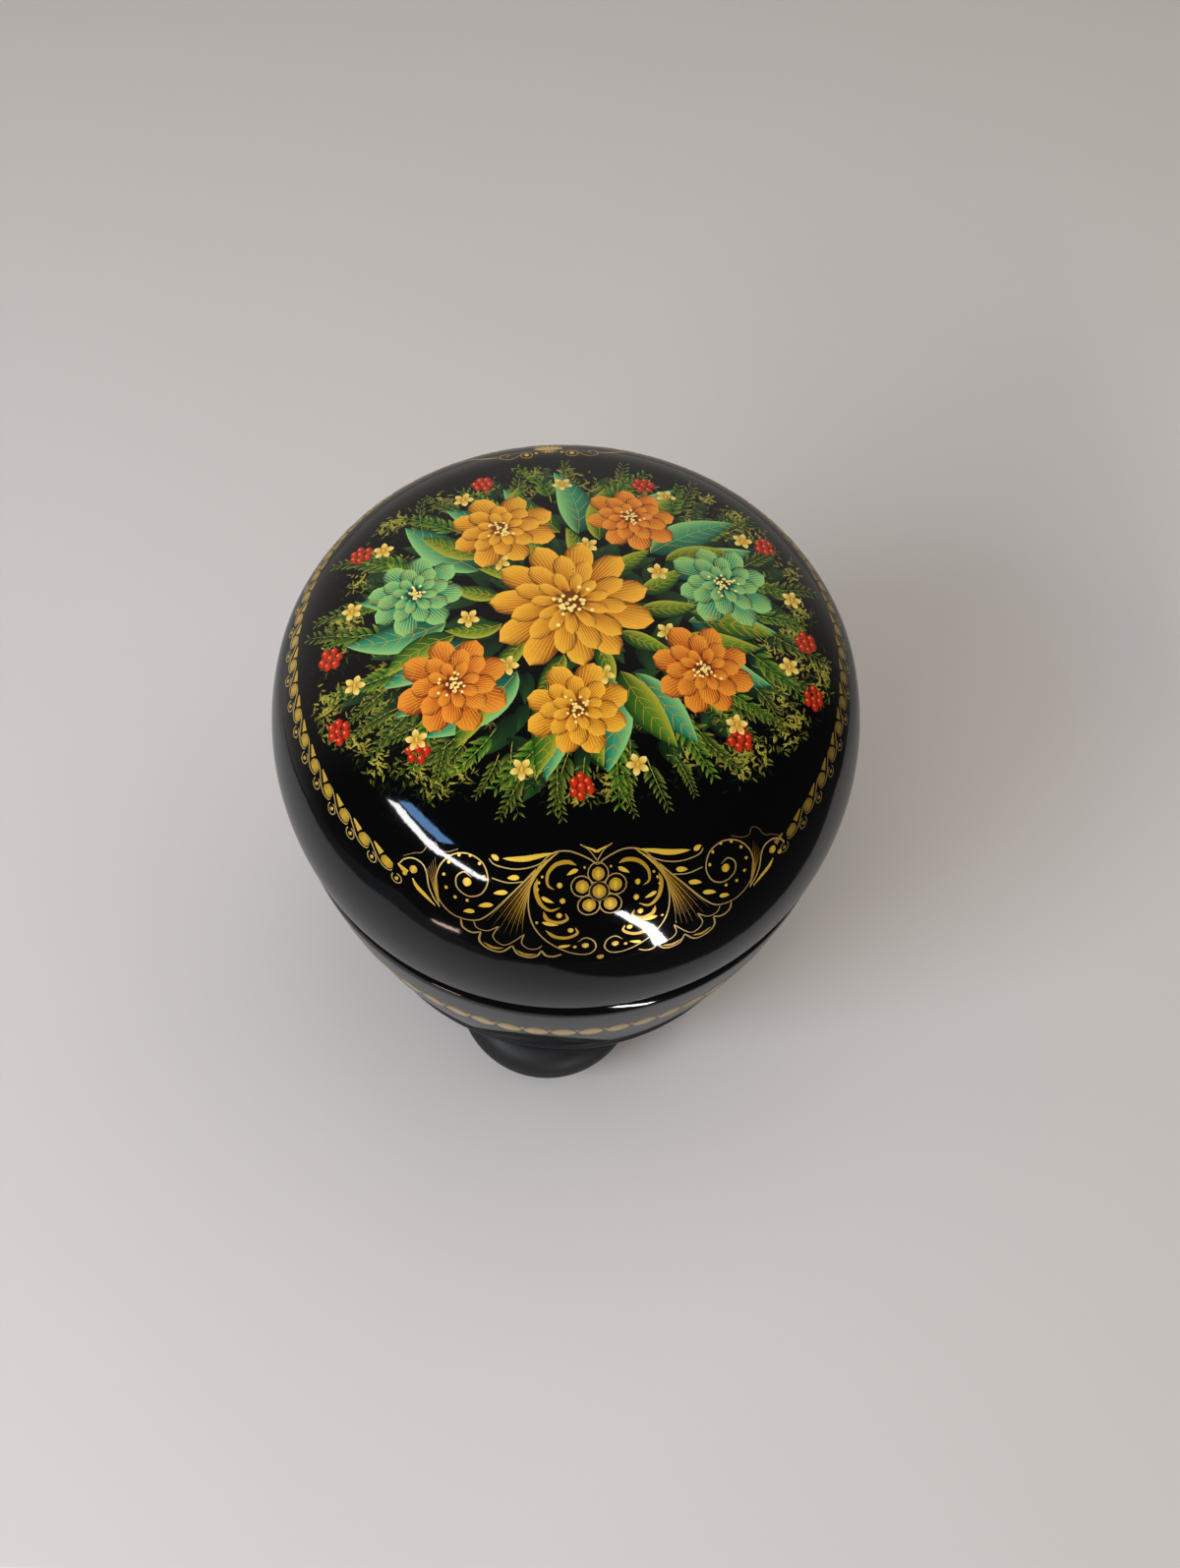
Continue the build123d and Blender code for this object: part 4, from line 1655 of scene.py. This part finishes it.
@dataclass
class Studio:
    """Pale board, soft light and the camera at the photograph's place."""

    image: tuple[int, int] = (1200, 1595)
    focal: float = 1200.0
    sensor: float = 36.0
    aim_pixel: tuple[float, float] = (576.28, 753.87)
    aim: float = 65.0
    elevation: float = 58.02
    roll: float = 1.74
    distance: float = 211.5
    turn: float = 4.7
    corners: Points = ((-140.0, -132.0), (150.0, -132.0), (310.0, 415.0), (-310.0, 415.0))
    rim: Points = ((0.0, -18.0), (0.0, -3.0), (1.0, -0.8), (3.0, 0.0), (100.0, 0.0))
    lamp_aim: float = 90.0
    room: Colour = (0.045, 0.0445, 0.044)
    backdrop: Colour = (0.62, 0.61, 0.60)
    wall: Colour = (0.50, 0.48, 0.44)
    wall_heading: float = 108.0
    wall_edge: tuple[float, float] = (0.38, 0.7)
    warm: Colour = (1.0, 0.98, 0.96)
    sky: Colour = (0.24, 0.50, 1.0)
    ember: Colour = (1.0, 0.72, 0.60)

    def camera(self) -> bpy.types.Object:
        """Camera that sees a point of the axis at its pixel, from the elevation, distance and roll.

        The camera first looks straight at that point, is then rolled, and is last turned so
        that the view line through the pixel takes the place of the middle line.

        Returns:
            The camera.
        """
        tilt, spin, around = np.radians([self.elevation, self.roll, self.turn])
        stand = self.distance * np.array([0.0, -np.cos(tilt), np.sin(tilt)])
        ahead = -stand / self.distance
        right = np.array([1.0, 0.0, 0.0])
        level = np.array([right, np.cross(ahead, right), ahead])
        rolled = np.array(Matrix.Rotation(spin, 3, "Z"))
        offset = (np.array(self.aim_pixel) - np.array(self.image) / 2.0) / self.focal
        line = Vector((offset[0], offset[1], 1.0)).normalized()
        swing = np.array(Vector((0.0, 0.0, 1.0)).rotation_difference(line).to_matrix())
        axes = swing @ rolled @ level
        lens = bpy.data.cameras.new("photo_camera")
        lens.sensor_width = self.sensor
        lens.sensor_fit = "AUTO"
        lens.lens = self.sensor * self.focal / max(self.image)
        lens.clip_start, lens.clip_end = 0.01, 20.0
        pose = Matrix(np.stack([axes[0], -axes[1], -axes[2]], -1).tolist()).to_4x4()
        pose.translation = Vector((stand + np.array([0.0, 0.0, self.aim])) * MM)
        camera = linked("photo_camera", lens)
        camera.matrix_world = Matrix.Rotation(around, 4, "Z") @ pose
        bpy.context.scene.camera = camera
        return camera

    def floor(self, finish: bpy.types.Material) -> bpy.types.Object:
        """Board with its top at Z = 0, wider behind as the view widens: its rim drops round a small edge.

        The board's four corners go round once for each step of the rim, moved in and down by it.

        Args:
            finish: Pale paint.

        Returns:
            The board.
        """
        around = np.radians(self.turn)
        spin = np.array([[np.cos(around), np.sin(around)], [-np.sin(around), np.cos(around)]])
        inset, drop = np.array(self.rim).T[:, :, None, None]
        inward = np.array([(1, 1), (-1, 1), (-1, -1), (1, -1)])
        flat = (np.array(self.corners) + inward * inset) @ spin
        points = np.concatenate([flat, np.broadcast_to(drop, (*flat.shape[:2], 1))], -1).reshape(-1, 3)
        index = np.arange(len(points)).reshape(-1, 4)
        after = np.roll(index, -1, 1)
        quads = np.stack([index[:-1], after[:-1], after[1:], index[1:]], -1).reshape(-1, 4)
        faces = np.vstack([quads, index[-1], index[0, ::-1]])
        mesh = bpy.data.meshes.new("pale_board")
        mesh.from_pydata((points * MM).tolist(), [], faces.tolist())
        mesh.materials.append(finish)
        board = linked("pale_board", mesh)
        return board

    def lamp(
        self,
        name: str,
        bearing: tuple[float, float, float],
        size: tuple[float, float],
        power: float,
        lean: float = 0.0,
        mirrored: bool = True,
        tint: Colour = (1.0, 1.0, 1.0),
    ) -> bpy.types.Object:
        """Rectangular soft light that faces the lid.

        Args:
            name: The light's name.
            bearing: Direction in degrees round Z from X, elevation in degrees, distance in millimetres.
            size: Width and height in millimetres.
            power: Watts.
            lean: Turn about its own beam in degrees.
            mirrored: True if the lacquer shows it as a highlight.
            tint: Colour of the light.

        Returns:
            The light.
        """
        light = bpy.data.lights.new(name, "AREA")
        light.shape = "RECTANGLE"
        light.size, light.size_y = size[0] * MM, size[1] * MM
        light.energy = power
        light.color = tint
        around, up = np.radians(bearing[:2])
        away = Vector((np.cos(up) * np.cos(around), np.cos(up) * np.sin(around), np.sin(up)))
        pose = away.to_track_quat("Z", "Y").to_matrix().to_4x4() @ Matrix.Rotation(np.radians(lean), 4, "Z")
        pose.translation = away * bearing[2] * MM + Vector((0.0, 0.0, self.lamp_aim * MM))
        lamp = linked(name, light)
        lamp.matrix_world = pose
        lamp.visible_camera = False
        lamp.visible_glossy = mirrored
        return lamp

    def light(self) -> None:
        """Dim room with a pale wall behind that the lacquer mirrors, wide fills and window-like strips."""
        room = Recipe("soft_room", world=True)
        facing = room.towards(room.node("ShaderNodeTexCoord", output="Generated"), self.wall_heading)
        veil = room.ray("Is Glossy Ray") * facing.above(*self.wall_edge)
        colour = room.blend(room.ray("Is Camera Ray"), room.blend(veil, self.room, self.wall), self.backdrop)
        glow = room.node("ShaderNodeBackground", {}, {"Color": colour})
        bpy.context.scene.world = room.ended("ShaderNodeOutputWorld", glow)
        wide = (1100.0, 1100.0)
        self.lamp("fill_above", (-165.0, 66.0, 900.0), wide, 4.3, mirrored=False, tint=self.warm)
        self.lamp("fill_right", (30.0, 58.0, 900.0), wide, 4.4, mirrored=False, tint=self.warm)
        self.lamp("window_left", (-138.7, 33.4, 800.0), (380.0, 64.0), 3.1, lean=-29.0)
        self.lamp("window_left_low", (-117.0, 24.0, 800.0), (230.0, 46.0), 1.4, lean=-30.0)
        self.lamp("window_sky", (-140.0, 42.5, 800.0), (285.0, 84.0), 1.2, lean=-22.0, tint=self.sky)
        self.lamp("window_right", (-62.0, -21.0, 420.0), (22.0, 300.0), 0.85, lean=21.0)
        self.lamp("low_glint", (-117.5, -29.2, 188.0), (24.0, 5.0), 0.004, tint=self.ember)


def dress(lid: Lid, body: Body) -> None:
    """Paint the bouquet and lay the gold on lid and bowl.

    Args:
        lid: The lid, for its skin.
        body: The body, for its skin.
    """
    front = np.radians(PAINTING_FRONT)
    skin = lid.section()
    gold, ring = (Brushwork(band, Chart.BAND, front) for band in (skin, body.wall_section()))
    petals, green, ground = (Brushwork(skin, Chart.DISC, front) for _ in range(3))
    picture = Bouquet(petals, green, ground)
    for ornament in (ChainBorder(gold), FrontPanel(gold), BackMotif(gold), picture, BodyChain(ring)):
        ornament.paint()
    miniature = Miniature("tempera").made()
    layers = (
        ("picture_ground", ground, miniature),
        ("picture_foliage", green, miniature),
        ("picture_blossoms", petals, miniature),
        ("lid_gilding", gold, Gilding("brushed_gold").made()),
    )
    for name, brush, finish in layers:
        ridden(brush.sheet().made(name, finish), "lid", "lid_lacquer")
    dull = Gilding("dull_gold", shine=0.12, coat=0.1).made()
    ridden(ring.sheet().made("body_gilding", dull), "box", "body_lacquer")


def main() -> None:
    """Build the finishes and the pieces in order, then the studio."""
    logging.basicConfig(level=logging.INFO, format="%(message)s")
    lid = Lid()
    lid.build(Lacquer("lid_lacquer", index=1.36).made())
    body = Body()
    body.build(Lacquer("body_lacquer", index=1.54).made())
    dress(lid, body)
    Feet().build(Satin("foot_paint").made())
    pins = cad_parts["foot_dowels"]
    pins.data.materials.clear()
    pins.data.materials.append(Wood("pin_birch").made())
    studio = Studio()
    studio.floor(Board("board_paint").made())
    studio.light()
    studio.camera()
    bpy.context.scene.view_settings.view_transform = "Standard"


if __name__ == "__main__":
    main()
